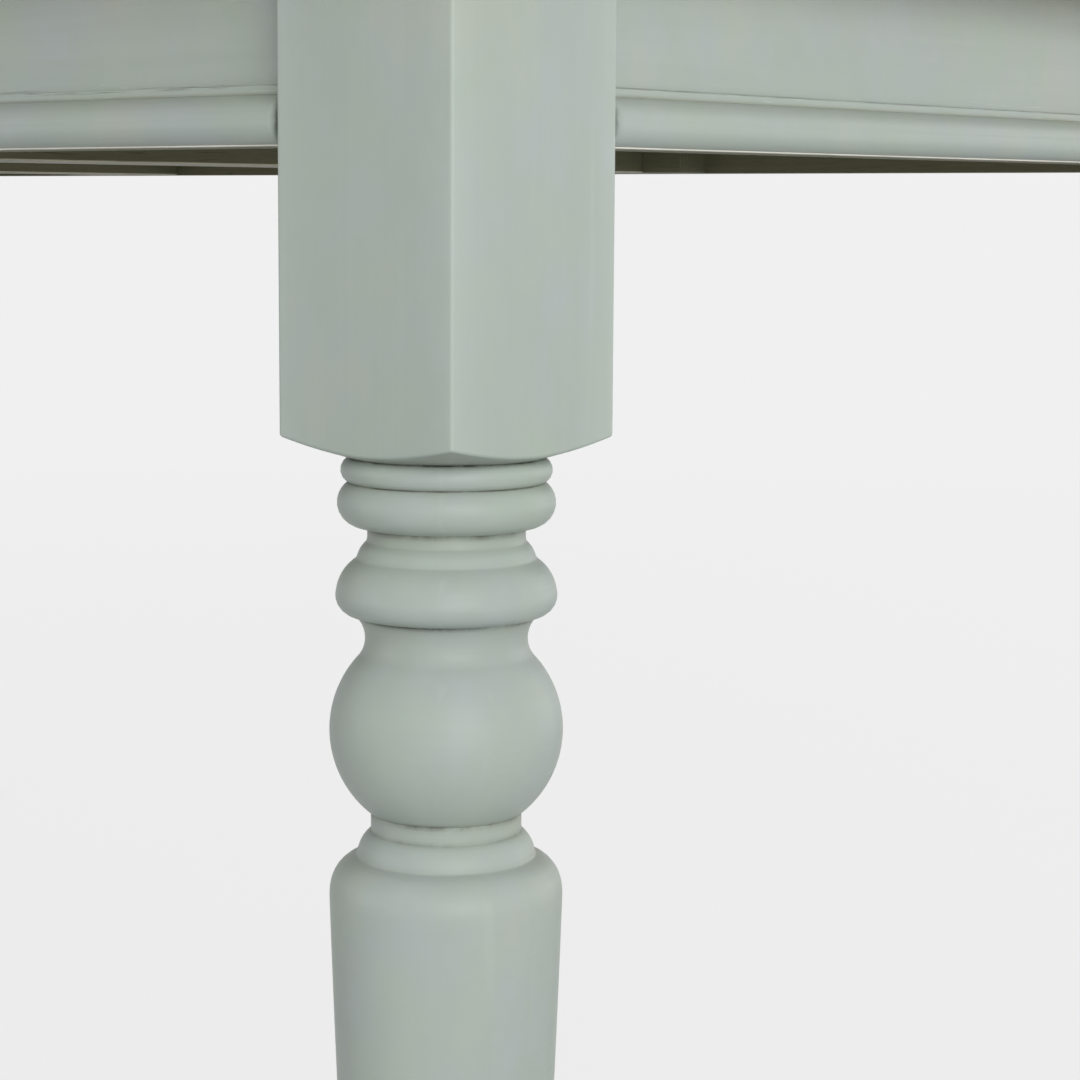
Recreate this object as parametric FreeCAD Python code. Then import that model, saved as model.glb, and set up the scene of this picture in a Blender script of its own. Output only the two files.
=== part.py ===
import FreeCAD, Part
import math
import os

# Kitchen table: planked top, four turned legs, moulded aprons and one drawer in each long side.
# Millimetres. X runs along the table, Y from front to back, Z up from the floor under its centre.

# Overall
table_height = 765.0
top_length = 1750.0
top_width = 900.0
top_overhang = 29.0

# Clearances that all pieces share
glue_gap = 0.1
running_gap = 0.3
overrun = 2.0

# Top of edge-glued boards
top_thickness = 32.0
top_board_count = 6
top_corner_radius = 6.0
top_edge_radius = 3.0

# Square block of the leg, with the turned pommel cone under it
block_side = 95.0
block_length = 198.6
block_edge_radius = 2.0
bolt_flat_leg = 17.0
pommel_height = 8.2
pommel_radius = 38.9

# Turned part of the leg, from the pommel down
upper_bead_radius = 42.6
upper_bead_height = 10.0
quirk_radius = 39.4
lower_bead_radius = 44.0
lower_bead_height = 17.7
first_neck_radius = 31.9
first_neck_height = 6.2
first_cap_radius = 36.2
first_cap_height = 7.1
cushion_radius = 44.5
cushion_rise = 12.6
cushion_fall = 10.3
cushion_foot_radius = 37.1
second_neck_radius = 32.9
second_neck_height = 16.7
ball_top_radius = 35.2
ball_radius = 47.4
ball_height = 64.5
third_neck_radius = 30.7
third_neck_height = 7.5
second_cap_radius = 36.3
second_cap_height = 10.4
vase_radius = 47.8
vase_shoulder_height = 12.2
ankle_radius = 36.5
ankle_ring_radius = 40.5
ankle_ring_height = 12.0
foot_neck_radius = 30.5
foot_neck_height = 6.0
foot_radius = 40.0
foot_height = 74.0
foot_base_radius = 28.0
foot_base_height = 5.0

# Shares of a step's height at which its curve bows, and of its width there
upper_bead_crown_share = 0.52
lower_bead_crown_share = 0.47
first_cap_shares = (0.46, 0.69)
cushion_rise_shares = (0.38, 0.63)
cushion_fall_shares = (0.73, 0.23)
second_neck_waist_share = 0.56
ball_crown_share = 0.475
second_cap_shares = (0.46, 0.75)
vase_shoulder_shares = (0.34, 0.65)
taper_bow_shares = (0.50, 0.42)
ankle_ring_crown_share = 0.50
foot_crown_share = 0.40

# Glide under each foot
glide_radius = 16.0
glide_thickness = 3.0
glide_pin_radius = 1.5
glide_pin_length = 14.0

# Aprons and the low rail under each drawer opening
apron_height = 84.0
apron_thickness = 27.0
apron_setback = 15.0
rail_height = 24.0
button_groove_width = 8.0
button_groove_depth = 9.0

# Moulding along the lower edge of the aprons
bead_height = 20.6
bead_projection = 13.0
bead_lip_height = 0.5
bead_lip_projection = 8.0
bead_crown_share = 0.52
bead_lower_shares = (0.37, 0.82)
bead_upper_shares = (0.66, 0.76)
fillet_height = 3.7
fillet_projection = 3.5
moulding_end_gap = 3.8

# Bearers that carry the drawers, with their guides, stops and glue blocks
bearer_width = 77.0
bearer_outside = 41.5
bearer_tenon_length = 10.0
bearer_tenon_thickness = 8.0
bearer_tenon_shoulder = 9.0
guide_gap = 1.0
guide_width = 22.0
guide_height = 18.0
stop_length = 111.4
stop_width = 24.0
stop_height = 16.0
block_length_along = 35.0
block_depth = 30.0

# Drawers
drawer_opening = 540.0
drawer_gap = 1.5
drawer_front_thickness = 20.0
drawer_side_height = 52.0
drawer_side_thickness = 11.0
drawer_back_thickness = 11.0
drawer_back_inset = 12.0
drawer_back_housing = 4.0
drawer_bottom_thickness = 5.0
drawer_bottom_rise = 7.0
drawer_groove_depth = 5.0
tail_length = 14.0
tail_root_width = 11.0
tail_flare = 2.0
tail_place_shares = (0.27, 0.73)

# Knobs and their screws
knob_spacing = 300.0
knob_length = 28.0
knob_face_radius = 8.0
knob_radius = 16.0
knob_head_height = 17.0
knob_neck_radius = 7.5
knob_neck_height = 4.0
knob_base_radius = 11.0
knob_crown_share = 0.42
knob_base_shares = (0.60, 0.30)
knob_screw_radius = 2.0
knob_screw_bite = 12.0
knob_screw_head_radius = 4.2
knob_screw_head_height = 2.6

# Corner braces and the bolts that hold the legs
brace_thickness = 22.0
brace_height = 56.0
brace_rise = 14.0
brace_gap = 10.0
bolt_radius = 4.0
bolt_bite = 45.0
bolt_tail = 5.0
bolt_height_shares = (0.27, 0.73)
washer_radius = 12.0
washer_thickness = 1.6
nut_flats = 13.0
nut_height = 6.5
brace_screw_reach_share = 0.76
brace_screw_height_shares = (0.42, 0.84)
brace_screw_length = 40.0

# Wood screws and the buttons that hold the top down
screw_radius = 2.0
screw_head_radius = 4.2
button_width = 30.0
button_length = 36.0
button_height = 20.0
button_tongue_length = 8.0
button_screw_length = 35.0
long_button_shares = (0.25, 0.62)
end_button_offset = 185.0

# Places worked out from the sizes
origin = FreeCAD.Vector(0, 0, 0)
x_axis = FreeCAD.Vector(1, 0, 0)
y_axis = FreeCAD.Vector(0, 1, 0)
z_axis = FreeCAD.Vector(0, 0, 1)
diagonal = FreeCAD.Vector(1, 1, 0)
diagonal.normalize()
root_two = math.sqrt(2)

leg_top = table_height - top_thickness
block_end = leg_top - block_length
leg_outer_x = top_length / 2 - top_overhang
leg_outer_y = top_width / 2 - top_overhang
leg_inner_x = leg_outer_x - block_side
leg_inner_y = leg_outer_y - block_side
leg_axis_x = leg_outer_x - block_side / 2
leg_axis_y = leg_outer_y - block_side / 2

apron_bottom = leg_top - apron_height
apron_face_x = leg_outer_x - apron_setback
apron_face_y = leg_outer_y - apron_setback
apron_inner_x = apron_face_x - apron_thickness
apron_inner_y = apron_face_y - apron_thickness
rail_top = apron_bottom + rail_height
groove_bottom = leg_top - button_height

drawer_half = drawer_opening / 2 - drawer_gap
drawer_inner = drawer_half - drawer_side_thickness
drawer_shoulder = apron_face_y - drawer_front_thickness
drawer_rear = stop_length / 2 + running_gap
drawer_seat = rail_top + running_gap
drawer_floor = drawer_seat + drawer_bottom_rise
drawer_front_low = rail_top + drawer_gap
drawer_front_high = leg_top - drawer_gap
knob_level = (drawer_front_low + drawer_front_high) / 2

bearer_outer = drawer_opening / 2 + bearer_outside
bearer_inner = bearer_outer - bearer_width
guide_inner = drawer_half + guide_gap

corner_reach = apron_inner_x - leg_inner_x + apron_inner_y - leg_inner_y
flat_reach = corner_reach - bolt_flat_leg
brace_near = flat_reach + brace_gap * root_two
brace_far = brace_near + brace_thickness * root_two
brace_bottom = apron_bottom + brace_rise

corners = {
    "front_left": (-1, -1),
    "front_right": (1, -1),
    "back_left": (-1, 1),
    "back_right": (1, 1),
}


# Shape helpers
def point(x, y, z):
    return FreeCAD.Vector(x, y, z)


def between(low, high, share):
    return low + (high - low) * share


def box(x_limits, y_limits, z_limits):
    """Block between the two limits given along each axis."""
    low = point(min(x_limits), min(y_limits), min(z_limits))
    high = point(max(x_limits), max(y_limits), max(z_limits))
    size = high.sub(low)
    return Part.makeBox(size.x, size.y, size.z, low)


def prism(outline, rise):
    """Solid with a flat outline, carried straight along a vector."""
    return Part.Face(Part.makePolygon(outline + outline[:1])).extrude(rise)


def turned(top, start_radius, steps):
    """Solid of revolution about Z, described from its top down.

    A step is (end radius, height) for a straight cut. An arc adds the radius that it passes
    and the share of its height where it passes it.
    """
    here = point(start_radius, 0, top)
    edges = [Part.LineSegment(point(0, 0, top), here).toShape()]
    for radius, height, *bow in steps:
        there = point(radius, 0, here.z - height)
        curve = Part.LineSegment(here, there)
        if bow:
            curve = Part.Arc(here, point(bow[0], 0, here.z - height * bow[1]), there)
        edges.append(curve.toShape())
        here = there
    edges.append(Part.LineSegment(here, point(0, 0, here.z)).toShape())
    edges.append(Part.LineSegment(point(0, 0, here.z), point(0, 0, top)).toShape())
    return Part.Face(Part.Wire(edges)).revolve(origin, z_axis, 360)


def aimed(shape, place, direction):
    """Copy of a shape that stood on the origin along Z, set at a place along a direction."""
    copy = shape.copy()
    copy.Placement = FreeCAD.Placement(place, FreeCAD.Rotation(z_axis, direction))
    return copy


def mirrored(shape, side_x, side_y):
    """Image, in any quarter, of a shape that was built in the back right quarter."""
    if side_x < 0:
        shape = shape.mirror(origin, x_axis)
    if side_y < 0:
        shape = shape.mirror(origin, y_axis)
    return shape


def in_all_corners(shapes):
    """Group of the shapes of one quarter and their images in the other three."""
    sides = corners.values()
    return Part.makeCompound([mirrored(s, x, y) for x, y in sides for s in shapes])


def wood_screw(length, gap):
    """Countersunk screw that points up from its head, or its hole when a gap is given."""
    sink = screw_head_radius - screw_radius
    head = Part.makeCone(screw_head_radius + gap, screw_radius + gap, sink)
    return head.fuse(Part.makeCylinder(screw_radius + gap, length + gap))


# Legs
def leg_turning():
    """Turned part of the leg, from the pommel to the foot."""
    cap_one_bow = between(first_neck_radius, first_cap_radius, first_cap_shares[1])
    cap_two_bow = between(third_neck_radius, second_cap_radius, second_cap_shares[1])
    rise_bow = between(first_cap_radius, cushion_radius, cushion_rise_shares[1])
    fall_bow = between(cushion_radius, cushion_foot_radius, cushion_fall_shares[1])
    shoulder_bow = between(second_cap_radius, vase_radius, vase_shoulder_shares[1])
    taper_bow = between(vase_radius, ankle_radius, taper_bow_shares[1])
    upper = [
        (quirk_radius, upper_bead_height, upper_bead_radius, upper_bead_crown_share),
        (first_neck_radius, lower_bead_height, lower_bead_radius, lower_bead_crown_share),
        (first_neck_radius, first_neck_height),
        (first_cap_radius, first_cap_height, cap_one_bow, first_cap_shares[0]),
        (cushion_radius, cushion_rise, rise_bow, cushion_rise_shares[0]),
        (cushion_foot_radius, cushion_fall, fall_bow, cushion_fall_shares[0]),
        (ball_top_radius, second_neck_height, second_neck_radius, second_neck_waist_share),
        (third_neck_radius, ball_height, ball_radius, ball_crown_share),
        (third_neck_radius, third_neck_height),
        (second_cap_radius, second_cap_height, cap_two_bow, second_cap_shares[0]),
        (vase_radius, vase_shoulder_height, shoulder_bow, vase_shoulder_shares[0]),
    ]
    lower = [
        (foot_neck_radius, ankle_ring_height, ankle_ring_radius, ankle_ring_crown_share),
        (foot_neck_radius, foot_neck_height),
        (foot_base_radius, foot_height, foot_radius, foot_crown_share),
        (foot_base_radius, foot_base_height),
    ]
    start = block_end - pommel_height
    taper_height = start - glide_thickness - sum(step[1] for step in upper + lower)
    taper = (ankle_radius, taper_height, taper_bow, taper_bow_shares[0])
    return turned(start, pommel_radius, upper + [taper] + lower)


def leg_block():
    """Square block with eased edges, whose lower end is cut to the pommel cone."""
    half = block_side / 2
    reach = half * root_two
    block = box((-half, half), (-half, half), (block_end - pommel_height, leg_top))
    uprights = [e for e in block.Edges if abs(e.tangentAt(e.FirstParameter).z) > 0.5]
    block = block.makeFillet(block_edge_radius, uprights)
    return block.common(turned(leg_top, reach, [(reach, block_length), (pommel_radius, pommel_height)]))


def leg(bolt_holes):
    """Leg of the back right corner, with a flat for its bolts and a hole for its glide."""
    solid = leg_block().fuse(leg_turning()).removeSplitter()
    solid.translate(point(leg_axis_x, leg_axis_y, 0))
    ends = (apron_bottom, leg_top + overrun)
    x = leg_inner_x - overrun
    y = leg_inner_y - overrun
    leg_side = bolt_flat_leg + 2 * overrun
    outline = [point(x, y, ends[0]), point(x + leg_side, y, ends[0]), point(x, y + leg_side, ends[0])]
    solid = solid.cut(prism(outline, point(0, 0, ends[1] - ends[0])))
    pin_top = glide_thickness + glide_pin_length
    pin_hole = Part.makeCylinder(
        glide_pin_radius + glue_gap, pin_top + glue_gap, point(leg_axis_x, leg_axis_y, 0)
    )
    return solid.cut(bolt_holes).cut(pin_hole)


def glide():
    """Round pad with a pin, under the back right foot."""
    pad = Part.makeCylinder(glide_radius, glide_thickness)
    pin = Part.makeCylinder(glide_pin_radius, glide_thickness + glide_pin_length)
    return pad.fuse(pin).removeSplitter().translated(point(leg_axis_x, leg_axis_y, 0))


# Corner braces, bolts and screws of the back right corner
def brace_spot(reach, sideways, height):
    """Point at a reach along both aprons from their inner corner, moved sideways along the brace."""
    along = reach / 2
    shift = sideways / root_two
    return point(apron_inner_x - along - shift, apron_inner_y - along + shift, height)


def brace_block():
    """Board across the corner, cut to fit flat against both aprons."""
    outline = [
        point(apron_inner_x - brace_near, apron_inner_y, brace_bottom),
        point(apron_inner_x - brace_far, apron_inner_y, brace_bottom),
        point(apron_inner_x, apron_inner_y - brace_far, brace_bottom),
        point(apron_inner_x, apron_inner_y - brace_near, brace_bottom),
    ]
    return prism(outline, point(0, 0, brace_height))


def bolt_spots():
    """Points on the leg's flat where its bolts go in."""
    levels = [brace_bottom + brace_height * share for share in bolt_height_shares]
    return [brace_spot(flat_reach, 0, level) for level in levels]


def bolt_bar(radius, bite, tail):
    """Straight bar along Z through a leg's flat at the origin: its bite above, its tail below."""
    return Part.makeCylinder(radius, bite + tail, point(0, 0, -tail))


def bolts():
    tail = brace_gap + brace_thickness + washer_thickness + nut_height + bolt_tail
    bar = bolt_bar(bolt_radius, bolt_bite, tail)
    return [aimed(bar, spot, diagonal) for spot in bolt_spots()]


def bolt_holes():
    tail = brace_gap + brace_thickness + overrun
    bar = bolt_bar(bolt_radius + running_gap, bolt_bite + running_gap, tail)
    return Part.makeCompound([aimed(bar, spot, diagonal) for spot in bolt_spots()])


def washers():
    ring = Part.makeCylinder(washer_radius, washer_thickness)
    ring = ring.cut(Part.makeCylinder(bolt_radius + running_gap, washer_thickness))
    seat = diagonal * -(brace_gap + brace_thickness + washer_thickness)
    return [aimed(ring, spot.add(seat), diagonal) for spot in bolt_spots()]


def nuts():
    reach = nut_flats / math.sqrt(3)
    turns = [math.radians(60 * i) for i in range(6)]
    outline = [point(reach * math.cos(a), reach * math.sin(a), 0) for a in turns]
    nut = prism(outline, point(0, 0, nut_height))
    nut = nut.cut(Part.makeCylinder(bolt_radius + running_gap, nut_height))
    seat = diagonal * -(brace_gap + brace_thickness + washer_thickness + nut_height)
    return [aimed(nut, spot.add(seat), diagonal) for spot in bolt_spots()]


def brace_screws(gap):
    """Screws, or their holes, through the brace's ends into both aprons."""
    sideways = brace_far / root_two * brace_screw_reach_share
    levels = [brace_bottom + brace_height * share for share in brace_screw_height_shares]
    spots = [brace_spot(brace_far, s, level) for s in (-sideways, sideways) for level in levels]
    return [aimed(wood_screw(brace_screw_length, gap), spot, diagonal) for spot in spots]


# Buttons that hold the top to the aprons
def button_spots():
    """Places on the aprons' inner faces, with the turn that faces each button outwards."""
    along = [between(drawer_opening / 2, leg_inner_x, share) for share in long_button_shares]
    spots = [(point(x, apron_inner_y, groove_bottom), 0) for x in along]
    return spots + [(point(apron_inner_x, end_button_offset, groove_bottom), -90)]


def at_buttons(shape):
    """Copies of a shape that was built against the back apron, at each button's place."""
    return [shape.rotated(origin, z_axis, turn).translated(spot) for spot, turn in button_spots()]


def button():
    half = button_width / 2
    body = box((-half, half), (-button_length, 0), (0, button_height))
    tongue_top = button_groove_width - glue_gap
    tongue = box((-half, half), (0, button_tongue_length), (0, tongue_top))
    hole = button_screw(glue_gap)
    return body.fuse(tongue).removeSplitter().cut(hole)


def button_screw(gap):
    return wood_screw(button_screw_length, gap).translated(point(0, -button_length / 2, 0))


# Aprons
def long_apron(screw_holes):
    """Right half of the back apron, from the drawer opening to the leg, above the low rail."""
    x_limits = (drawer_opening / 2, leg_inner_x)
    panel = box(x_limits, (apron_inner_y, apron_face_y), (rail_top, leg_top))
    return panel.cut(button_groove(x_limits, (apron_inner_y, apron_inner_y + button_groove_depth))).cut(
        screw_holes
    )


def end_apron(screw_holes):
    """Right end apron, from leg to leg."""
    y_limits = (-leg_inner_y, leg_inner_y)
    panel = box((apron_inner_x, apron_face_x), y_limits, (apron_bottom, leg_top))
    groove = button_groove((apron_inner_x, apron_inner_x + button_groove_depth), y_limits)
    other_holes = screw_holes.mirror(origin, y_axis)
    return panel.cut(groove).cut(screw_holes).cut(other_holes)


def button_groove(x_limits, y_limits):
    return box(x_limits, y_limits, (groove_bottom - glue_gap, groove_bottom + button_groove_width))


def low_rail():
    """Low rail of the back apron from leg to leg, mortised for both bearers."""
    rail = box((-leg_inner_x, leg_inner_x), (apron_inner_y, apron_face_y), (apron_bottom, rail_top))
    mortise = bearer_tenon(glue_gap)
    return rail.cut(mortise).cut(mortise.mirror(origin, x_axis))


# Moulding
def moulding_profile(length):
    """Strip along X on a face at y = 0, seen from its end: lip and bead below, quirk and fillet above."""
    crown = point(0, bead_projection, bead_height * bead_crown_share)
    foot = point(0, bead_lip_projection, 0)
    lip = point(0, bead_lip_projection, bead_lip_height)
    quirk = point(0, fillet_projection, bead_height)
    lower_bow = point(
        0,
        between(lip.y, crown.y, bead_lower_shares[1]),
        between(lip.z, crown.z, bead_lower_shares[0]),
    )
    upper_bow = point(
        0,
        between(quirk.y, crown.y, bead_upper_shares[1]),
        between(crown.z, quirk.z, bead_upper_shares[0]),
    )
    top = bead_height + fillet_height
    fillet_top = point(0, fillet_projection, top)
    edges = [
        Part.LineSegment(origin, foot).toShape(),
        Part.LineSegment(foot, lip).toShape(),
        Part.Arc(lip, lower_bow, crown).toShape(),
        Part.Arc(crown, upper_bow, quirk).toShape(),
        Part.LineSegment(quirk, fillet_top).toShape(),
        Part.LineSegment(fillet_top, point(0, 0, top)).toShape(),
        Part.LineSegment(point(0, 0, top), origin).toShape(),
    ]
    strip = Part.Face(Part.Wire(edges)).extrude(point(length, 0, 0))
    return strip.translated(point(-length / 2, 0, 0))


def long_moulding():
    strip = moulding_profile(2 * (leg_inner_x - moulding_end_gap))
    return strip.translated(point(0, apron_face_y, apron_bottom))


def end_moulding():
    strip = moulding_profile(2 * (leg_inner_y - moulding_end_gap))
    return strip.rotated(origin, z_axis, -90).translated(point(apron_face_x, 0, apron_bottom))


# Bearers and what stands on them
def bearer_tenon(gap):
    """Stub tenon at the back end of the right bearer, or its mortise when a gap is given."""
    middle = (apron_bottom + rail_top) / 2
    half = bearer_tenon_thickness / 2 + gap
    x_limits = (bearer_inner + bearer_tenon_shoulder - gap, bearer_outer - bearer_tenon_shoulder + gap)
    y_limits = (apron_inner_y, apron_inner_y + bearer_tenon_length + gap)
    return box(x_limits, y_limits, (middle - half, middle + half))


def bearer():
    """Right bearer, from the front rail to the back rail."""
    board = box((bearer_inner, bearer_outer), (-apron_inner_y, apron_inner_y), (apron_bottom, rail_top))
    tenon = bearer_tenon(0)
    return board.fuse(tenon).fuse(tenon.mirror(origin, y_axis)).removeSplitter()


def guide():
    """Strip on the right bearer that keeps both drawers straight."""
    x_limits = (guide_inner, guide_inner + guide_width)
    return box(x_limits, (-apron_inner_y, apron_inner_y), (rail_top, rail_top + guide_height))


def stop():
    """Block on the right bearer that both drawers close against."""
    x_limits = (drawer_half - stop_width, drawer_half)
    y_limits = (-stop_length / 2, stop_length / 2)
    return box(x_limits, y_limits, (rail_top, rail_top + stop_height))


def glue_block():
    """Block in the corner between the right bearer and the back rail."""
    x_limits = (bearer_outer, bearer_outer + block_length_along)
    return box(x_limits, (apron_inner_y - block_depth, apron_inner_y), (apron_bottom, rail_top))


# Back drawer; the front drawer is its mirror image
def tails():
    """Dovetails on the front end of the right side, wider at their tips."""
    solids = []
    for share in tail_place_shares:
        middle = drawer_seat + drawer_side_height * share
        root = tail_root_width / 2
        tip = root + tail_flare
        outline = [
            point(drawer_inner, drawer_shoulder, middle - root),
            point(drawer_inner, drawer_shoulder + tail_length, middle - tip),
            point(drawer_inner, drawer_shoulder + tail_length, middle + tip),
            point(drawer_inner, drawer_shoulder, middle + root),
        ]
        solids.append(prism(outline, point(drawer_side_thickness, 0, 0)))
    return Part.makeCompound(solids)


def bottom_panel(gap):
    """Drawer bottom, slid in under the back, or the grooves' space when a gap is given."""
    half = drawer_inner + drawer_groove_depth
    fit = glue_gap - gap
    y_limits = (drawer_rear - gap, drawer_shoulder + drawer_groove_depth - fit)
    z_limits = (drawer_floor - gap, drawer_floor + drawer_bottom_thickness + gap)
    return box((-half + fit, half - fit), y_limits, z_limits)


def drawer_back(gap):
    """Drawer back, housed in both sides above the bottom, or its housings when a gap is given."""
    half = drawer_inner + drawer_back_housing + gap
    low = drawer_rear + drawer_back_inset
    y_limits = (low - gap, low + drawer_back_thickness + gap)
    z_limits = (drawer_floor + drawer_bottom_thickness + glue_gap, drawer_seat + drawer_side_height)
    return box((-half, half), y_limits, z_limits)


def drawer_side():
    y_limits = (drawer_rear, drawer_shoulder)
    z_limits = (drawer_seat, drawer_seat + drawer_side_height)
    side = box((drawer_inner, drawer_half), y_limits, z_limits)
    side = side.fuse(tails()).removeSplitter()
    return side.cut(bottom_panel(glue_gap)).cut(drawer_back(glue_gap))


def drawer_front():
    z_limits = (drawer_front_low, drawer_front_high)
    front = box((-drawer_half, drawer_half), (drawer_shoulder, apron_face_y), z_limits)
    front = front.cut(tails()).cut(tails().mirror(origin, x_axis))
    return front.cut(bottom_panel(glue_gap)).cut(Part.makeCompound(at_knobs(knob_screw(running_gap))))


def at_knobs(shape):
    """Copies of a shape along Z, set on the drawer front at each knob's place."""
    spots = [point(side * knob_spacing / 2, apron_face_y, knob_level) for side in (-1, 1)]
    return [aimed(shape, spot, y_axis) for spot in spots]


def knob():
    """Turned knob that stands on the origin, bored for its screw."""
    base_height = knob_length - knob_head_height - knob_neck_height
    base_bow = between(knob_neck_radius, knob_base_radius, knob_base_shares[1])
    steps = [
        (knob_neck_radius, knob_head_height, knob_radius, knob_crown_share),
        (knob_neck_radius, knob_neck_height),
        (knob_base_radius, base_height, base_bow, knob_base_shares[0]),
    ]
    bore = Part.makeCylinder(knob_screw_radius + running_gap, knob_screw_bite + running_gap)
    return turned(knob_length, knob_face_radius, steps).cut(bore)


def knob_screw(gap):
    """Pan head screw from inside the drawer front up into the knob, or its hole with a gap."""
    length = drawer_front_thickness + knob_screw_bite
    shank = Part.makeCylinder(knob_screw_radius + gap, length, point(0, 0, -drawer_front_thickness))
    if gap:
        return shank
    head_low = -drawer_front_thickness - knob_screw_head_height
    head = Part.makeCylinder(knob_screw_head_radius, knob_screw_head_height, point(0, 0, head_low))
    return shank.fuse(head).removeSplitter()


def drawer_pieces():
    """Named pieces of the back drawer."""
    side = drawer_side()
    return {
        "front": drawer_front(),
        "side_right": side,
        "side_left": side.mirror(origin, x_axis),
        "back": drawer_back(0),
        "bottom": bottom_panel(0),
        "knobs": Part.makeCompound(at_knobs(knob())),
        "knob_screws": Part.makeCompound(at_knobs(knob_screw(0))),
    }


# Top
def top_boards(screw_holes):
    """Boards of the top, cut from one slab with eased edges."""
    x_limits = (-top_length / 2, top_length / 2)
    slab = box(x_limits, (-top_width / 2, top_width / 2), (leg_top, table_height))
    uprights = [e for e in slab.Edges if abs(e.tangentAt(e.FirstParameter).z) > 0.5]
    slab = slab.makeFillet(top_corner_radius, uprights)
    rim = [e for e in slab.Edges if abs(e.tangentAt(e.FirstParameter).z) < 0.5]
    slab = slab.makeFillet(top_edge_radius, rim).cut(screw_holes)
    width = top_width / top_board_count
    edges = [-top_width / 2 + width * i for i in range(top_board_count)]
    return [slab.common(box(x_limits, (low, low + width), (leg_top, table_height))) for low in edges]


# Write every piece
def export(name, shape):
    shape.exportStep(os.path.join("parts", name + ".step"))


def main():
    os.makedirs("parts", exist_ok=True)

    button_holes = in_all_corners(at_buttons(button_screw(glue_gap)))
    for i, board in enumerate(top_boards(button_holes)):
        export(f"top_board_{i + 1}", board)
    export("top_buttons", in_all_corners(at_buttons(button())))
    export("button_screws", in_all_corners(at_buttons(button_screw(0))))

    holes = bolt_holes()
    screw_holes = Part.makeCompound(brace_screws(glue_gap))
    corner_leg = leg(holes)
    corner_brace = brace_block().cut(holes).cut(screw_holes)
    corner_apron = long_apron(screw_holes)
    for name, (side_x, side_y) in corners.items():
        export(f"leg_{name}", mirrored(corner_leg, side_x, side_y))
        export(f"corner_brace_{name}", mirrored(corner_brace, side_x, side_y))
        export(f"apron_{name}", mirrored(corner_apron, side_x, side_y))
    export("foot_glides", in_all_corners([glide()]))
    export("leg_bolts", in_all_corners(bolts()))
    export("leg_bolt_washers", in_all_corners(washers()))
    export("leg_bolt_nuts", in_all_corners(nuts()))
    export("brace_screws", in_all_corners(brace_screws(0)))
    export("bearer_blocks", in_all_corners([glue_block()]))

    for name, side_x in (("left", -1), ("right", 1)):
        export(f"end_apron_{name}", mirrored(end_apron(screw_holes), side_x, 1))
        export(f"moulding_{name}", mirrored(end_moulding(), side_x, 1))
        export(f"drawer_bearer_{name}", mirrored(bearer(), side_x, 1))
        export(f"drawer_guide_{name}", mirrored(guide(), side_x, 1))
        export(f"drawer_stop_{name}", mirrored(stop(), side_x, 1))

    pieces = drawer_pieces()
    for name, side_y in (("front", -1), ("back", 1)):
        export(f"low_rail_{name}", mirrored(low_rail(), 1, side_y))
        export(f"moulding_{name}", mirrored(long_moulding(), 1, side_y))
        for piece, shape in pieces.items():
            export(f"{name}_drawer_{piece}", mirrored(shape, 1, side_y))


main()
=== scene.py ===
import math

import bmesh
import bpy
import numpy as np
from bpy.props import FloatProperty, FloatVectorProperty, IntProperty, PointerProperty
from mathutils import Matrix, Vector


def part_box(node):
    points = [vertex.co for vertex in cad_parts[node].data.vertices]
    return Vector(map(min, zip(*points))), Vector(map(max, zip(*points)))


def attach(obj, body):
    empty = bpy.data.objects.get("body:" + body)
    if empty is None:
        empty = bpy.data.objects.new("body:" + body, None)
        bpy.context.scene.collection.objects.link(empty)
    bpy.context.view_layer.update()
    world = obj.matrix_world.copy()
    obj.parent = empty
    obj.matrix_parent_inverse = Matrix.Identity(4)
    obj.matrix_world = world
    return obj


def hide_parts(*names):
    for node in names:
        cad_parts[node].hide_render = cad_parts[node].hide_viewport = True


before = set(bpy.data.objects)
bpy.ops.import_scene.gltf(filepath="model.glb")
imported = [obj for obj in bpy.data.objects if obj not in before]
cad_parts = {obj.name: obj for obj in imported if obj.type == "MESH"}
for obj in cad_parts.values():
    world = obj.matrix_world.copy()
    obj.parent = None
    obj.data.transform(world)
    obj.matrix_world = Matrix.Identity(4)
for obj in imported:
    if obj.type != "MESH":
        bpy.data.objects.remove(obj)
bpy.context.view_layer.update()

bl_info = {
    "name": "Kitchen table with drawers",
    "version": (1, 0, 0),
    "blender": (4, 5, 0),
    "location": "View3D > Sidebar > Table",
    "description": "Dresses a painted farmhouse table with turned legs, an oak top and two drawers",
    "category": "Object",
}

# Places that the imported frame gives, in metres
LEG_LOW, LEG_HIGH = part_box("leg_front_right")
END_APRON_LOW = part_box("end_apron_right")[0]
LEG_AXIS_X = abs(LEG_LOW.x + LEG_HIGH.x) / 2
LEG_AXIS_Y = abs(LEG_LOW.y + LEG_HIGH.y) / 2
APRON_BOTTOM = END_APRON_LOW.z
INNER_X = END_APRON_LOW.x
INNER_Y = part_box("low_rail_back")[0].y
# Length of the dovetails that lap into a drawer front, and where the front's bare wood begins behind them
DOVETAIL_LENGTH = 0.014
DRAWER_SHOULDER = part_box("back_drawer_side_left")[1].y - DOVETAIL_LENGTH

# Boards of the top, and the side along X and along Y on which each leg stands
BOARD_COUNT = 6
LEG_CORNERS = {"front_left": (-1, -1), "front_right": (1, -1), "back_left": (-1, 1), "back_right": (1, 1)}

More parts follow.
